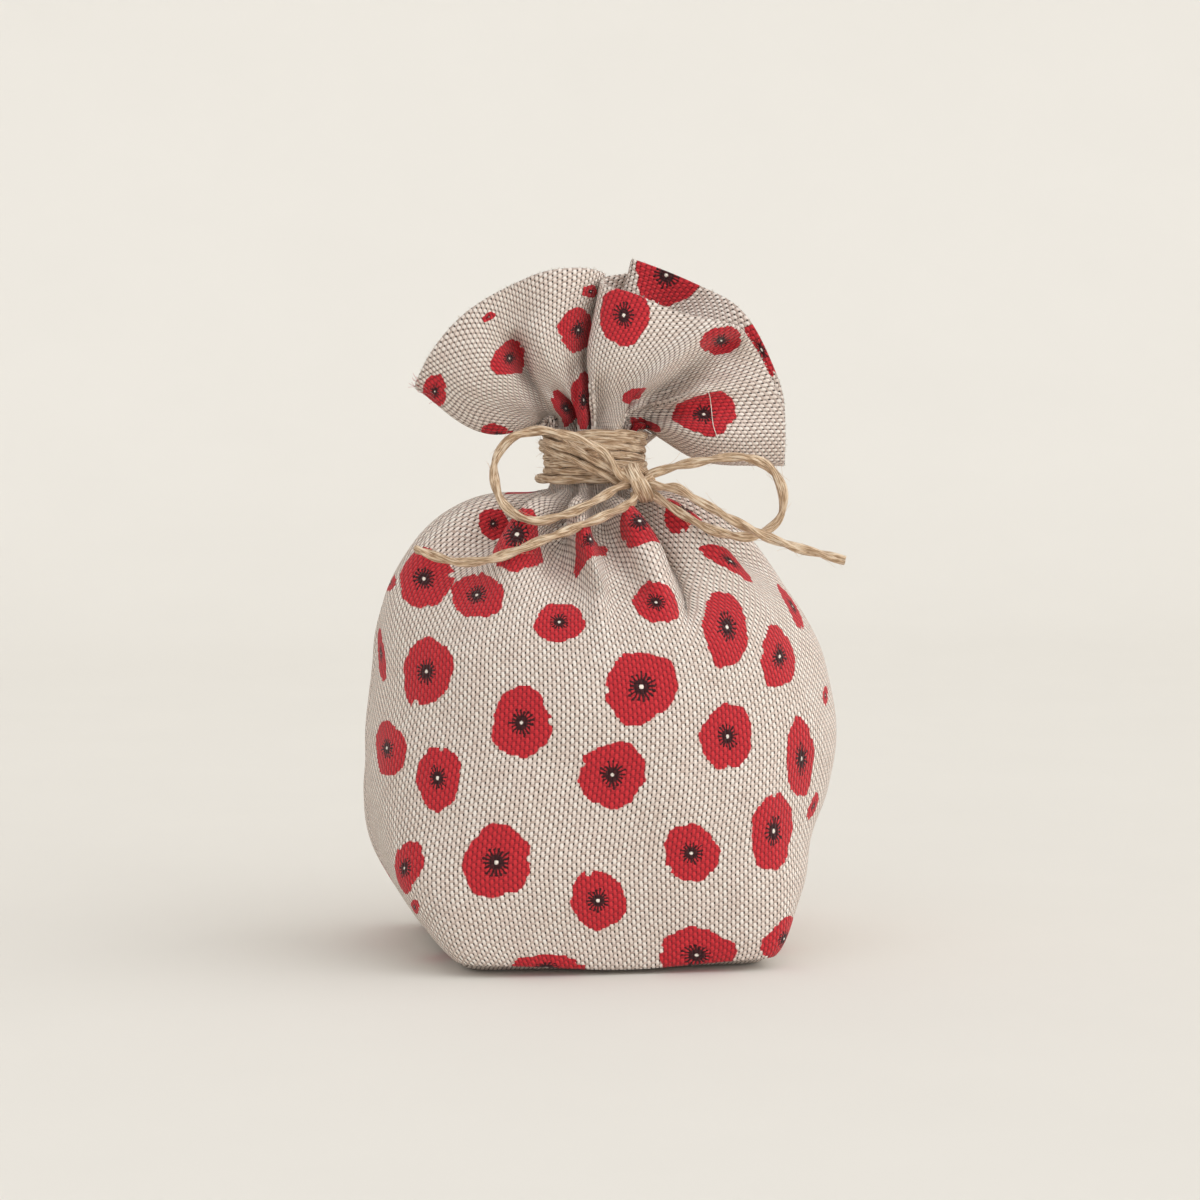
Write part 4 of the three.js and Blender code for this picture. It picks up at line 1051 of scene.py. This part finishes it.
class Graph:
    """The node graph of a material or of the world."""

    def __init__(self, owner, shader="Principled BSDF"):
        owner.use_nodes = True
        self.owner = owner
        self.tree = owner.node_tree
        self.shader = self.tree.nodes[shader]

    def put(self, socket, value):
        if isinstance(value, Number):
            value = value.socket
        if isinstance(value, bpy.types.NodeSocket):
            self.tree.links.new(value, socket)
        else:
            socket.default_value = value

    def node(self, kind, inputs=None, **settings):
        made = self.tree.nodes.new(kind)
        for name, value in settings.items():
            setattr(made, name, value)
        for key, value in (inputs or {}).items():
            self.put(made.inputs[key], value)
        return made

    def number(self, kind, inputs, output=0, **settings):
        return Number(self, self.node(kind, inputs, **settings).outputs[output])

    def math(self, operation, *values):
        return self.number("ShaderNodeMath", dict(enumerate(values)), operation=operation)

    def length(self, x, y):
        return self.math("SQRT", x * x + y * y)

    def vector(self, operation, *values):
        made = self.node("ShaderNodeVectorMath", dict(enumerate(values)), operation=operation)
        return made.outputs["Value" if operation in ("LENGTH", "DOT_PRODUCT") else 0]

    def split(self, vector):
        made = self.node("ShaderNodeSeparateXYZ", {0: vector})
        return [Number(self, made.outputs[k]) for k in range(3)]

    def join(self, x, y, z=0.0):
        return self.node("ShaderNodeCombineXYZ", {0: x, 1: y, 2: z}).outputs[0]

    def ease(self, low, high, value):
        """0 below low, 1 above high, and smooth between them."""
        return self.number("ShaderNodeMapRange", {0: value, 1: low, 2: high}, interpolation_type="SMOOTHSTEP")

    def blend(self, share, a, b):
        return a + (b - a) * share

    def mix(self, share, a, b):
        return self.node("ShaderNodeMix", {0: share, 6: a, 7: b}, data_type="RGBA").outputs[2]

    def noise(self, place, scale=1.0, detail=2.0):
        return self.number("ShaderNodeTexNoise", {"Vector": place, "Scale": scale, "Detail": detail}, "Fac")

    def chance(self, place):
        """A random number from 0 to 1 for each place."""
        return self.number("ShaderNodeTexWhiteNoise", {"Vector": place}, "Value")

    def uv(self, name):
        return self.node("ShaderNodeUVMap", uv_map=name).outputs[0]

    def attribute(self, name):
        return self.node("ShaderNodeAttribute", attribute_name=name).outputs["Vector"]

    def place(self):
        """The place on the object, in millimetres."""
        return self.vector("MULTIPLY", self.node("ShaderNodeTexCoord").outputs["Object"], (1000.0, 1000.0, 1000.0))

    def finish(self, shade, height, bump, roughness, sheen):
        """Puts the colour, the height in millimetres and the gloss on the shader."""
        lift = self.node("ShaderNodeBump", {"Height": height, "Strength": bump, "Distance": MM})
        sockets = {"Base Color": shade, "Normal": lift.outputs[0], "Roughness": roughness}
        for name, value in sockets.items():
            self.put(self.shader.inputs[name], value)
        self.shader.inputs["Specular IOR Level"].default_value = 0.25
        self.shader.inputs["Sheen Weight"].default_value = sheen
        self.shader.inputs["Sheen Roughness"].default_value = 0.5
        return self.owner


def colour(red, green, blue):
    """A colour from its 0 to 255 values on screen."""
    shares = [v / 255 for v in (red, green, blue)]
    return tuple(v / 12.92 if v <= 0.04045 else ((v + 0.055) / 1.055) ** 2.4 for v in shares) + (1.0,)


WARP_PITCH = 0.84  # how far apart yarns are, in millimetres
WEFT_PITCH = 0.77
WARP_HALF = 0.39  # half a warp yarn's width, as a share of its pitch
WEFT_HALF = 0.46
WARP_FORM = (0.62, 1.1, 2.8)  # how far a yarn rises and falls, the level it does so at, and how square it is
WEFT_FORM = (0.48, 0.72, 3.0)
CREAM = colour(238, 222, 211)
DULL_CREAM = colour(222, 213, 200)
PALE_CREAM = colour(252, 243, 234)
TAUPE = colour(210, 192, 181)
DARK_TAUPE = colour(189, 169, 157)
# Painted shade, not a yarn colour: it darkens yarns where they dip under others.
DIP_SHADE = colour(140, 119, 107)
# Painted shade in the pits between yarns.
PIT_SHADE = colour(52, 40, 34)
RED = colour(218, 52, 60)
WORN_RED = colour(205, 47, 56)
# The red on the darker weft, also used as painted shade where printed yarns dip low.
WEFT_RED_AND_DIP_SHADE = colour(176, 38, 48)
# Painted shade in the pits between printed yarns.
RED_PIT_SHADE = colour(96, 16, 26)
INK = colour(36, 22, 26)
INK_THREAD = colour(26, 16, 20)
MIDDLE_DOT = colour(250, 240, 228)
STAMENS = 17
EDGE_STEP = 0.32  # how far the print's edges jump from yarn to yarn instead of crossing them
EDGE_FRAY = 0.16
FINE_STEP = 0.2  # the same for its fine lines


def weave(g, u, v):
    """A plain weave at u and v in millimetres.

    It gives the weave's height, where the warp is on top, the pits between yarns (the materials fill them with
    painted shade), the yarns' numbers and their middles.
    """
    wander = g.noise(g.join(u * 0.16, v * 0.16)) - 0.5
    a = (u + 0.5 * wander) / WARP_PITCH
    b = (v - 0.4 * wander) / WEFT_PITCH
    i, j = g.math("FLOOR", a), g.math("FLOOR", b)
    x, y = a - i - 0.5, b - j - 0.5
    odd = g.math("FLOORED_MODULO", i + j, 2.0)
    warp_run = g.blend(odd, abs(y), 1.0 - abs(y))
    weft_run = g.blend(odd, 1.0 - abs(x), abs(x))
    warp_half = WARP_HALF * (0.86 + 0.28 * g.noise(g.join(i * 7.3, v * 0.35)))
    weft_half = WEFT_HALF * (0.82 + 0.30 * g.noise(g.join(u * 0.30, j * 5.7)))
    warp, weft = (
        rise * g.math("COSINE", run * math.pi) + level - g.math("POWER", abs(aside) / half, square)
        for (rise, level, square), run, aside, half in (
            (WARP_FORM, warp_run, x, warp_half),
            (WEFT_FORM, weft_run, y, weft_half),
        )
    )
    height = g.math("MAXIMUM", warp, weft)
    corner = g.ease(0.25, 0.40, abs(x)) * g.ease(0.03, 0.30, abs(y))
    open_side = g.ease(-0.01, 0.05, x * y * (1.0 - 2.0 * odd))
    pit = corner * (0.25 + 0.75 * open_side) * g.ease(0.05, 0.5, g.noise(g.join(u * 1.1, v * 1.1, 7.0)))
    return height, g.ease(-0.12, 0.12, warp - weft), pit, (i, j), ((i + 0.5) * WARP_PITCH, (j + 0.5) * WEFT_PITCH)


def blossom_place(g, u, v):
    """A place within the nearest blossom, with the blossom's rim about 1 from its middle, and its seed."""
    middle_u, middle_v, seed = g.split(g.attribute("blossom_place"))
    du, dv = u - middle_u, v - middle_v
    x_by_u, x_by_v, _ = g.split(g.attribute("blossom_x"))
    y_by_u, y_by_v, _ = g.split(g.attribute("blossom_y"))
    return du * x_by_u + dv * x_by_v, du * y_by_u + dv * y_by_v, seed * (2 * math.pi)


# A blossom's outline, for one whose rim is about 1 away: each wave's size, its lobes and how the seed turns it.
RIM = 0.945
RIM_WAVES = ((0.045, 2.0, 1.0), (0.04, 3.0, 3.0), (0.03, 5.0, 5.0), (0.02, 9.0, 2.0), (0.012, 16.0, 4.0))

NOTCH = 1.02  # how far from its middle the deep notch is, and below that the shallow one
SHALLOW_NOTCH = 1.12


def petals(g, x, y, seed):
    """1 inside a blossom's wavy outline, which has one deep notch and a shallow one, and 0 outside."""
    around = g.math("ARCTAN2", y, x)
    rim = RIM
    for size, lobes, turn in RIM_WAVES:
        rim = rim + size * g.math("COSINE", around * lobes + seed * turn)
    away = g.length(x, y)
    inside = 1.0 - g.ease(-0.02, 0.02, away - rim)
    notch = g.math("SQRT", (x - NOTCH) * (x - NOTCH) + y * y * 2.2)
    shallow = g.math("SQRT", (x + 0.4) * (x + 0.4) * 2.0 + (y - SHALLOW_NOTCH) * (y - SHALLOW_NOTCH))
    return inside * g.ease(0.17, 0.21, notch) * g.ease(0.2, 0.24, shallow)


def stamens(g, x, y, seed):
    """Where the ring of short dark stamens is, and where the pale dot in its middle is."""
    away = g.length(x, y)
    around = g.math("ARCTAN2", y, x) / (2 * math.pi) * STAMENS
    which = g.math("FLOOR", around)
    beside = abs(around - which - 0.5) * (2 * math.pi / STAMENS) * away
    reach = 0.28 + 0.12 * g.chance(g.join(which, seed))
    line = 1.0 - g.ease(0.016, 0.036, beside)
    stalks = line * (1.0 - g.ease(-0.015, 0.015, away - reach))
    tips = 1.0 - g.ease(0.026, 0.048, g.length(beside, away - reach))
    heart = 1.0 - g.ease(0.18, 0.25, away)
    dot = 1.0 - g.ease(0.035, 0.07, away)
    return g.math("MAXIMUM", g.math("MAXIMUM", stalks, tips), heart), dot


def plain_shade(g, height, warp_on_top, pit, weft_colour, warp_colour):
    """Unprinted cloth: each yarn in its colour, with painted shade where it dips under another and in the pits
    between yarns.
    """
    shade = g.mix(warp_on_top, weft_colour, warp_colour)
    # Painted shade: darker where the yarn dips low, and dark in the pits between yarns.
    shade = g.mix(0.5 + 0.5 * g.ease(0.0, 0.5, height), DIP_SHADE, shade)
    return g.mix(pit, shade, PIT_SHADE)


def printed_linen():
    g = Graph(bpy.data.materials.new("printed_linen"))
    u, v, _ = g.split(g.uv("Cloth"))
    height, warp_on_top, pit, (i, j), (yarn_u, yarn_v) = weave(g, u, v)
    yarn_tone = g.noise(g.join(i * 3.1, v * 0.22), detail=3.0)
    weft_tone = g.noise(g.join(u * 0.22, j * 4.3), detail=3.0)
    warp_colour = g.mix(g.ease(0.3, 0.7, yarn_tone), CREAM, PALE_CREAM)
    weft_colour = g.mix(g.ease(0.3, 0.7, weft_tone), DARK_TAUPE, TAUPE)
    plain = plain_shade(g, height, warp_on_top, pit, weft_colour, warp_colour)
    edge_u = g.blend(EDGE_STEP, u, yarn_u) + EDGE_FRAY * (g.chance(g.join(i, j)) - 0.5)
    edge_v = g.blend(EDGE_STEP, v, yarn_v) + EDGE_FRAY * (g.chance(g.join(j, i, 3.0)) - 0.5)
    x, y, seed = blossom_place(g, edge_u, edge_v)
    red = petals(g, x, y, seed)
    fine_x, fine_y, _ = blossom_place(g, g.blend(FINE_STEP, u, yarn_u), g.blend(FINE_STEP, v, yarn_v))
    ink, dot = stamens(g, fine_x, fine_y, seed)
    red_top = g.mix(g.ease(0.25, 0.75, yarn_tone), WORN_RED, RED)
    printed = g.mix(warp_on_top, WEFT_RED_AND_DIP_SHADE, red_top)
    # Painted shade: printed yarns darken where they dip low, and the pits between them go dark red.
    printed = g.mix(0.6 + 0.4 * g.ease(0.05, 0.6, height), WEFT_RED_AND_DIP_SHADE, printed)
    printed = g.mix(pit * 0.7, printed, RED_PIT_SHADE)
    inked = g.mix(warp_on_top, INK_THREAD, INK)
    printed = g.mix(ink * 0.94, printed, inked)
    printed = g.mix(dot, printed, MIDDLE_DOT)
    shade = g.mix(red, plain, printed)
    rough = 0.92 - 0.10 * g.ease(0.5, 1.4, height)
    fuzz = g.noise(g.join(u * 9.0, v * 9.0), detail=3.0)
    return g.finish(shade, height * 0.24 + fuzz * 0.05, bump=0.75, roughness=rough, sheen=0.12)


DARK_FIBRE = colour(182, 146, 110)
PALE_FIBRE = colour(240, 209, 173)
# The next two are partly the jute's own tone, partly painted highlight and painted shade.
PALE_STREAK_AND_HIGHLIGHT = colour(254, 236, 210)
DARK_STREAK_AND_SHADE = colour(134, 99, 71)
TWINE_TONE = colour(200, 165, 130)


def jute():
    g = Graph(bpy.data.materials.new("jute_twine"))
    along, around, _ = g.split(g.uv("Fibre"))
    place = g.place()
    fibre = g.noise(g.join(along * 0.55 + around * 4.0, around * 26.0), detail=4.0)
    streak = g.noise(g.join(along * 0.28 + around * 2.0, around * 11.0, 4.0), detail=3.0)
    tone = g.noise(place, 0.25)
    base = g.mix(g.ease(0.38, 0.62, fibre), DARK_FIBRE, PALE_FIBRE)
    # The streaks also raise the bump: pale ones on the raised fibres are partly painted highlight, dark ones in the
    # low grooves partly painted shade, besides the jute's own uneven tone.
    for low, high, value, share, streak_colour in (
        (0.46, 0.64, streak, 0.85, PALE_STREAK_AND_HIGHLIGHT),
        (0.52, 0.38, streak, 0.6, DARK_STREAK_AND_SHADE),
        (0.4, 0.75, tone, 0.3, TWINE_TONE),
    ):
        base = g.mix(g.ease(low, high, value) * share, base, streak_colour)
    return g.finish(base, fibre * 0.42 + streak * 0.3, bump=1.0, roughness=0.72 + 0.2 * fibre, sheen=0.15)


STUFFING_TONES = (colour(214, 208, 198), colour(240, 236, 228))
LUMP_TONE = colour(224, 214, 200)


def stuffing():
    g = Graph(bpy.data.materials.new("stuffing"))
    place = g.place()
    tangle = g.noise(place, 0.7, 6.0)
    lump = g.noise(place, 0.09)
    tone = g.mix(g.ease(0.35, 0.65, tangle), *STUFFING_TONES)
    tone = g.mix(g.ease(0.4, 0.7, lump) * 0.4, tone, LUMP_TONE)
    return g.finish(tone, tangle * 0.8 + lump * 2.0, bump=0.8, roughness=0.9 + 0.08 * tangle, sheen=0.3)


def seam_linen():
    """The unprinted side of the cloth, as its seam allowances show it."""
    g = Graph(bpy.data.materials.new("seam_linen"))
    u, v, _ = g.split(g.uv("Cloth"))
    height, warp_on_top, pit, (i, j), _ = weave(g, u, v)
    tone = g.noise(g.join(i * 3.1, v * 0.22), detail=3.0)
    top = g.mix(g.ease(0.3, 0.7, tone), DULL_CREAM, CREAM)
    # The seam cloth gets the same painted shade in its dips and pits.
    shade = plain_shade(g, height, warp_on_top, pit, DARK_TAUPE, top)
    return g.finish(shade, height * 0.24, bump=0.75, roughness=0.94 - 0.08 * tone, sheen=0.12)


LINEN = printed_linen()
JUTE = jute()
STUFFING = stuffing()
SEAM_LINEN = seam_linen()
for piece in twine_pieces:
    piece.data.materials.append(JUTE)


# The cloth's panels, each a closed thin shell with half of the base.
CLOTH = 0.6
BASE_RINGS = 24
BASE_MIDDLE = 21.0  # how far the straight run of the base's seam reaches either way
BASE_LIFT_ENDS = 0.28  # where the lifted edge has come down to the floor, as a share of the way to the seam
BASE_GROOVE = 0.5
BASE_GROOVE_WIDTH = 1.4


def base_rings(edge, sign):
    """Points from a panel's lower edge in to the base's seam, and their places in the flat panel."""
    rings, places = [], []
    for k in range(1, BASE_RINGS + 1):
        t = k / BASE_RINGS
        inner = np.stack([np.clip(edge[:, 0], -BASE_MIDDLE, BASE_MIDDLE), 0 * edge[:, 0]], -1)
        flat = edge[:, :2] * (1 - t) + inner * t
        lift = edge[:, 2] * (1 - ease(0, BASE_LIFT_ENDS, t))
        groove = BASE_GROOVE * np.exp(-((flat[:, 1] / BASE_GROOVE_WIDTH) ** 2))
        rings.append(np.column_stack([flat, np.maximum(lift, 0) + groove]))
        across = flat[:, 0] if sign < 0 else -flat[:, 0]
        places.append(np.column_stack([across, np.abs(flat[:, 1]) - BASE_HALF]))
    return rings, places


def panel_grid(first, sign):
    """A panel's outer points from the base's seam up to the hem, and their places in the flat panel."""
    columns = np.arange(first, first + HALF + 1)
    wall = cloth_points[:, columns % COLUMNS]
    places = cloth_places()[:, columns % COLUMNS]
    in_ruffle = ease(WALL_ROWS, NECK_TOP_ROW, EACH_ROW)
    places[:, -1, 0] = columns[-1] * STEP * (1 - in_ruffle) + shown_across(first)[-1] * in_ruffle
    rings, flat = base_rings(wall[0], sign)
    middle = (first + HALF / 2) * STEP
    flat = [place + np.array([middle, 0]) for place in flat]
    return np.concatenate([rings[::-1], wall]), np.concatenate([flat[::-1], places])


def nearest_blossoms(places):
    """The number of the blossom that each place lies in or nearest to."""
    best = np.full(len(places), np.inf)
    which = np.zeros(len(places), int)
    for k, (place, form, _) in enumerate(blossoms):
        for wrap in (-ROUND, 0, ROUND):
            off = np.linalg.norm((places - place - (wrap, 0)) @ form.T, axis=1)
            closer = off < best
            which[closer] = k
            best[closer] = off[closer]
    return which


def set_print(made, faces, places):
    """Gives each face its nearest blossom."""
    middles = np.array([places[list(face)].mean(0) for face in faces])
    which = nearest_blossoms(middles)
    place = np.array([(*place, seed) for place, _, seed in blossoms])[which]
    place[:, 0] += np.round((middles[:, 0] - place[:, 0]) / ROUND) * ROUND
    form = np.array([form for _, form, _ in blossoms])[which]
    set_face_vectors(made, "blossom_place", place)
    set_face_vectors(made, "blossom_x", np.column_stack([form[:, 0], 0 * which]))
    set_face_vectors(made, "blossom_y", np.column_stack([form[:, 1], 0 * which]))


def make_panel(name, node, first, sign):
    points, places = panel_grid(first, sign)
    inner = points - unit(np.cross(np.gradient(points, axis=1), np.gradient(points, axis=0))) * CLOTH
    made, faces, places = make_shell(name, points, inner, places)
    set_print(made, faces, places)
    return dress(made, node, LINEN)


PANEL_WIDTH = HALF * STEP
PANEL_HEIGHT = (ROWS - 1) * STEP
PANEL_AREA = (PANEL_WIDTH * PANEL_HEIGHT + BASE_WIDTH * BASE_HALF) * MM * MM
for name, node, first, sign in (("front_cloth", "front_panel", 0, -1), ("back_cloth", "back_panel", HALF, 1)):
    make_panel(name, node, first, sign)
    PANEL_WIDTH * MM


# The filling: a soft pad just inside the cloth.
FILLING_TOP = 0.72  # how far up the wall it reaches
FILLING_INSIDE = 2.4  # how far inside the cloth it stays
FILLING_LOW = 1.6  # how far above the floor its underside is
FILLING_DOME = 9.0  # how far its top rises over its last row
ROW_STRIDE, COLUMN_STRIDE = 4, 3  # it takes every fourth row and every third column of the cloth's grid


def make_filling():
    rings = []
    normal = cloth_normals(cloth_points)
    for row in range(1, int(WALL_ROWS * FILLING_TOP), ROW_STRIDE):
        ring = (cloth_points[row] - normal[row] * FILLING_INSIDE)[::COLUMN_STRIDE]
        for _ in range(3):
            ring = evened(ring)
        ring[:, 2] = np.maximum(ring[:, 2], FILLING_LOW)
        rings.append(ring)
    for on_top, edge in ((False, rings[0]), (True, rings[-1])):
        middle = edge.mean(0) + UP * (FILLING_DOME if on_top else 0)
        for t in (0.3, 0.6, 0.85):
            ring = edge * (1 - t) + middle * t
            rings = rings + [ring] if on_top else [ring] + rings
    made = make_object("filling_pad", np.concatenate(rings), tube_faces(len(rings), len(rings[0])))
    dress(made, "filling", STUFFING)


make_filling()

# The seams' turned edges, inside the cloth.
SEAM_WIDE = 4.0
SEAM_THICK = 0.55
SEAM_START = 0.7  # how far inside the cloth's outer face it starts
SEAM_UNEVEN = 0.06
SEAM_POINTS = 6
BASE_SEAM_HALF = 27.0
BASE_SEAM_WIDE = 2.0
BASE_SEAM_LOW = 0.6


def make_seam(name, node, line, inward, across, width=SEAM_WIDE):
    """A doubled strip of cloth from the line of a seam inwards, with a slightly uneven raw edge."""
    rng = np.random.default_rng(len(name))
    share = np.linspace(0, 1, SEAM_POINTS)
    uneven = 1 + SEAM_UNEVEN * rng.normal(size=len(line))
    middle = line[:, None] + inward[:, None] * (SEAM_START + width * share[None, :, None] * uneven[:, None, None])
    aside = across * (SEAM_THICK * (0.12 + 0.5 * share**1.5))[None, :, None]
    places = np.stack(np.broadcast_arrays(share[None] * width, run_along(line)[:, None]), -1)
    made, _, _ = make_shell(name, middle - aside, middle + aside, places)
    dress(made, node, SEAM_LINEN)


def make_seams():
    for side, column in (("left", 0), ("right", HALF)):
        line = cloth_points[2:-1, column]
        beside = (cloth_points[2:-1, (column + 10) % COLUMNS] + cloth_points[2:-1, column - 10]) / 2
        middle = np.stack([0 * line[:, 0] + NECK_X, 0 * line[:, 0], line[:, 2]], -1)
        in_ruffle = ease(NECK_TOP_ROW, NECK_TOP_ROW + 6, EACH_ROW[2:-1])[:, None]
        inward = (middle - line) * (1 - in_ruffle) + (beside - line) * in_ruffle
        up = unit(np.gradient(line, axis=0))
        inward -= up * (inward * up).sum(1)[:, None]
        make_seam(f"{side}_seam_edge", f"{side}_side_seam", line, unit(inward), BACKWARDS)
    along = np.linspace(-BASE_SEAM_HALF, BASE_SEAM_HALF, 50)
    line = np.stack([along, 0 * along, BASE_SEAM_LOW + 0 * along], -1)
    make_seam("base_seam_edge", "base_seam", line, np.repeat([UP], len(line), 0), BACKWARDS, BASE_SEAM_WIDE)


make_seams()


# Loose threads: frayed ends at the hem's left corner, short yarn ends along the hem, and one pale stray thread.
def plain_thread(name, inner, outer):
    g = Graph(bpy.data.materials.new(name))
    place = g.place()
    tone = g.noise(place, 1.6, 3.0)
    shade = g.mix(g.ease(0.35, 0.65, tone), inner, outer)
    return g.finish(shade, g.noise(place, 6.0) * 0.1, bump=0.5, roughness=0.8 + 0.1 * tone, sheen=0.15)


def curly(start, way, long, curl, rng, points=7):
    """A thread's line from a point, with a seeded curl."""
    t = np.linspace(0, 1, points)[:, None]
    side = unit(np.cross(way, rng.normal(size=3)))
    other = np.cross(way, side)
    swing = side * curl * np.sin(t * rng.uniform(1.5, 4)) + other * curl * 0.6 * t**2
    return start + way * long * t + swing * long


# How many there are, their lengths, how much they curl, their radii from end to end and how their ways spread.
CORNER_THREADS = 46
CORNER_LENGTHS = (0.8, 3.0)
CORNER_CURLS = (0.1, 0.45)
CORNER_RADII = (0.07, 0.03)
CORNER_WAY = (-0.6, 0.0, 0.75)
CORNER_SPREAD = 0.35
HEM_THREADS = 520
HEM_LENGTHS = (0.25, 0.85)
HEM_CURLS = (0.05, 0.3)
HEM_RADII = (0.075, 0.03)
HEM_SPREAD = 0.45


def corner_threads():
    rng = np.random.default_rng(51)
    threads = []
    for _ in range(CORNER_THREADS):
        row = ROWS - 1 - rng.integers(0, 7)
        column = rng.integers(-3, 6) % COLUMNS
        way = unit(np.array(CORNER_WAY) + [0, rng.normal(0, CORNER_SPREAD), rng.normal(0, CORNER_SPREAD)])
        line = curly(cloth_points[row, column], way, rng.uniform(*CORNER_LENGTHS), rng.uniform(*CORNER_CURLS), rng)
        threads.append((line, np.linspace(*CORNER_RADII, len(line))))
    return threads


def hem_threads():
    rng = np.random.default_rng(61)
    threads = []
    normal = cloth_normals(cloth_points)[-1]
    up = unit(cloth_points[-1] - cloth_points[-3])
    for _ in range(HEM_THREADS):
        column = rng.integers(0, COLUMNS)
        start = cloth_points[-1, column] - normal[column] * CLOTH * rng.uniform(0, 1) - up[column] * 0.2
        way = unit(up[column] + rng.normal(0, HEM_SPREAD, 3))
        line = curly(start, way, rng.uniform(*HEM_LENGTHS), rng.uniform(*HEM_CURLS), rng, 4)
        threads.append((line, np.linspace(*HEM_RADII, len(line))))
    return threads


STRAY_THREAD = [
    (20.8, 118.2), (21.4, 117.2), (21.9, 115.8), (22.2, 113.6), (22.6, 111.4), (23.0, 109.4), (23.2, 107.6),
]
STRAY_RADIUS = 0.1
STRAY_LIFT = 0.25


def stray_thread():
    shown = in_picture(cloth_points)
    normal = cloth_normals(cloth_points)
    line = []
    for place in STRAY_THREAD:
        row, column = find_in_picture(place, shown)
        line.append(cloth_points[row, column] + normal[row, column] * STRAY_LIFT)
    route, _ = even_route(line, 0.5)
    for _ in range(4):
        route[1:-1] = (route[:-2] + route[1:-1] + route[2:]) / 3
    return [(route, STRAY_RADIUS)]


RED_THREAD = plain_thread("red_thread", colour(176, 44, 56), colour(222, 150, 146))
CREAM_THREAD = plain_thread("cream_thread", colour(214, 204, 190), colour(244, 238, 228))
threads_object("corner_threads", corner_threads(), RED_THREAD)
threads_object("hem_threads", hem_threads(), CREAM_THREAD)
threads_object("stray_thread", stray_thread(), CREAM_THREAD)

# Floor, backdrop and light.
FLOOR_COLOUR = colour(225, 222, 216)
FLOOR_GRAIN = colour(228, 225, 219)
FLOOR_REACH = 3.0  # these four in metres
SWEEP_START = 0.55
SWEEP_RADIUS = 0.5
BACKDROP_TOP = 2.5
SWEEP_STEPS = 24


def make_floor():
    profile = [(-FLOOR_REACH, 0.0), (SWEEP_START, 0.0)]
    for k in range(1, SWEEP_STEPS + 1):
        turn = math.pi / 2 * k / SWEEP_STEPS
        profile.append((SWEEP_START + SWEEP_RADIUS * math.sin(turn), SWEEP_RADIUS * (1 - math.cos(turn))))
    profile.append((SWEEP_START + SWEEP_RADIUS, BACKDROP_TOP))
    points = [(x, y, z) for y, z in profile for x in (-FLOOR_REACH, FLOOR_REACH)]
    faces = [(2 * k, 2 * k + 1, 2 * k + 3, 2 * k + 2) for k in range(len(profile) - 1)]
    floor = make_object("floor", np.array(points) / MM, faces)
    g = Graph(bpy.data.materials.new("floor"))
    grain = g.noise(g.place(), 0.02, 3.0)
    g.put(g.shader.inputs["Base Color"], g.mix(grain, FLOOR_COLOUR, FLOOR_GRAIN))
    g.shader.inputs["Roughness"].default_value = 0.9
    g.shader.inputs["Specular IOR Level"].default_value = 0.1
    floor.data.materials.append(g.owner)


SUN_FROM = Vector((0.95, -0.28, 0.26))
SUN_SPREAD = math.radians(90)
SUN_STRENGTH = 0.7
SUN_COLOUR = (1.0, 0.985, 0.96)
SKY_COLOUR = (1.0, 0.99, 0.975, 1.0)
SKY_BRIGHTEST = Vector((0.8, -0.54, 0.3))
SKY_DARK = 0.46
SKY_BRIGHT = 1.37


def make_light():
    lamp = add_object("sun", bpy.data.lights.new("sun", "SUN"))
    lamp.data.energy = SUN_STRENGTH
    lamp.data.angle = SUN_SPREAD
    lamp.data.color = SUN_COLOUR
    lamp.rotation_euler = SUN_FROM.to_track_quat("Z", "Y").to_euler()
    world = bpy.data.worlds.new("sky")
    bpy.context.scene.world = world
    sky = Graph(world, "Background")
    looking = sky.node("ShaderNodeTexCoord").outputs["Generated"]
    towards = sky.vector("DOT_PRODUCT", looking, SKY_BRIGHTEST.normalized())
    spread = {"Value": towards, "From Min": -1.0, "From Max": 1.0, "To Min": SKY_DARK, "To Max": SKY_BRIGHT}
    sky.put(sky.shader.inputs["Color"], SKY_COLOUR)
    sky.put(sky.shader.inputs["Strength"], sky.node("ShaderNodeMapRange", spread).outputs["Result"])


make_floor()
make_light()
bpy.context.scene.view_settings.view_transform = "Standard"
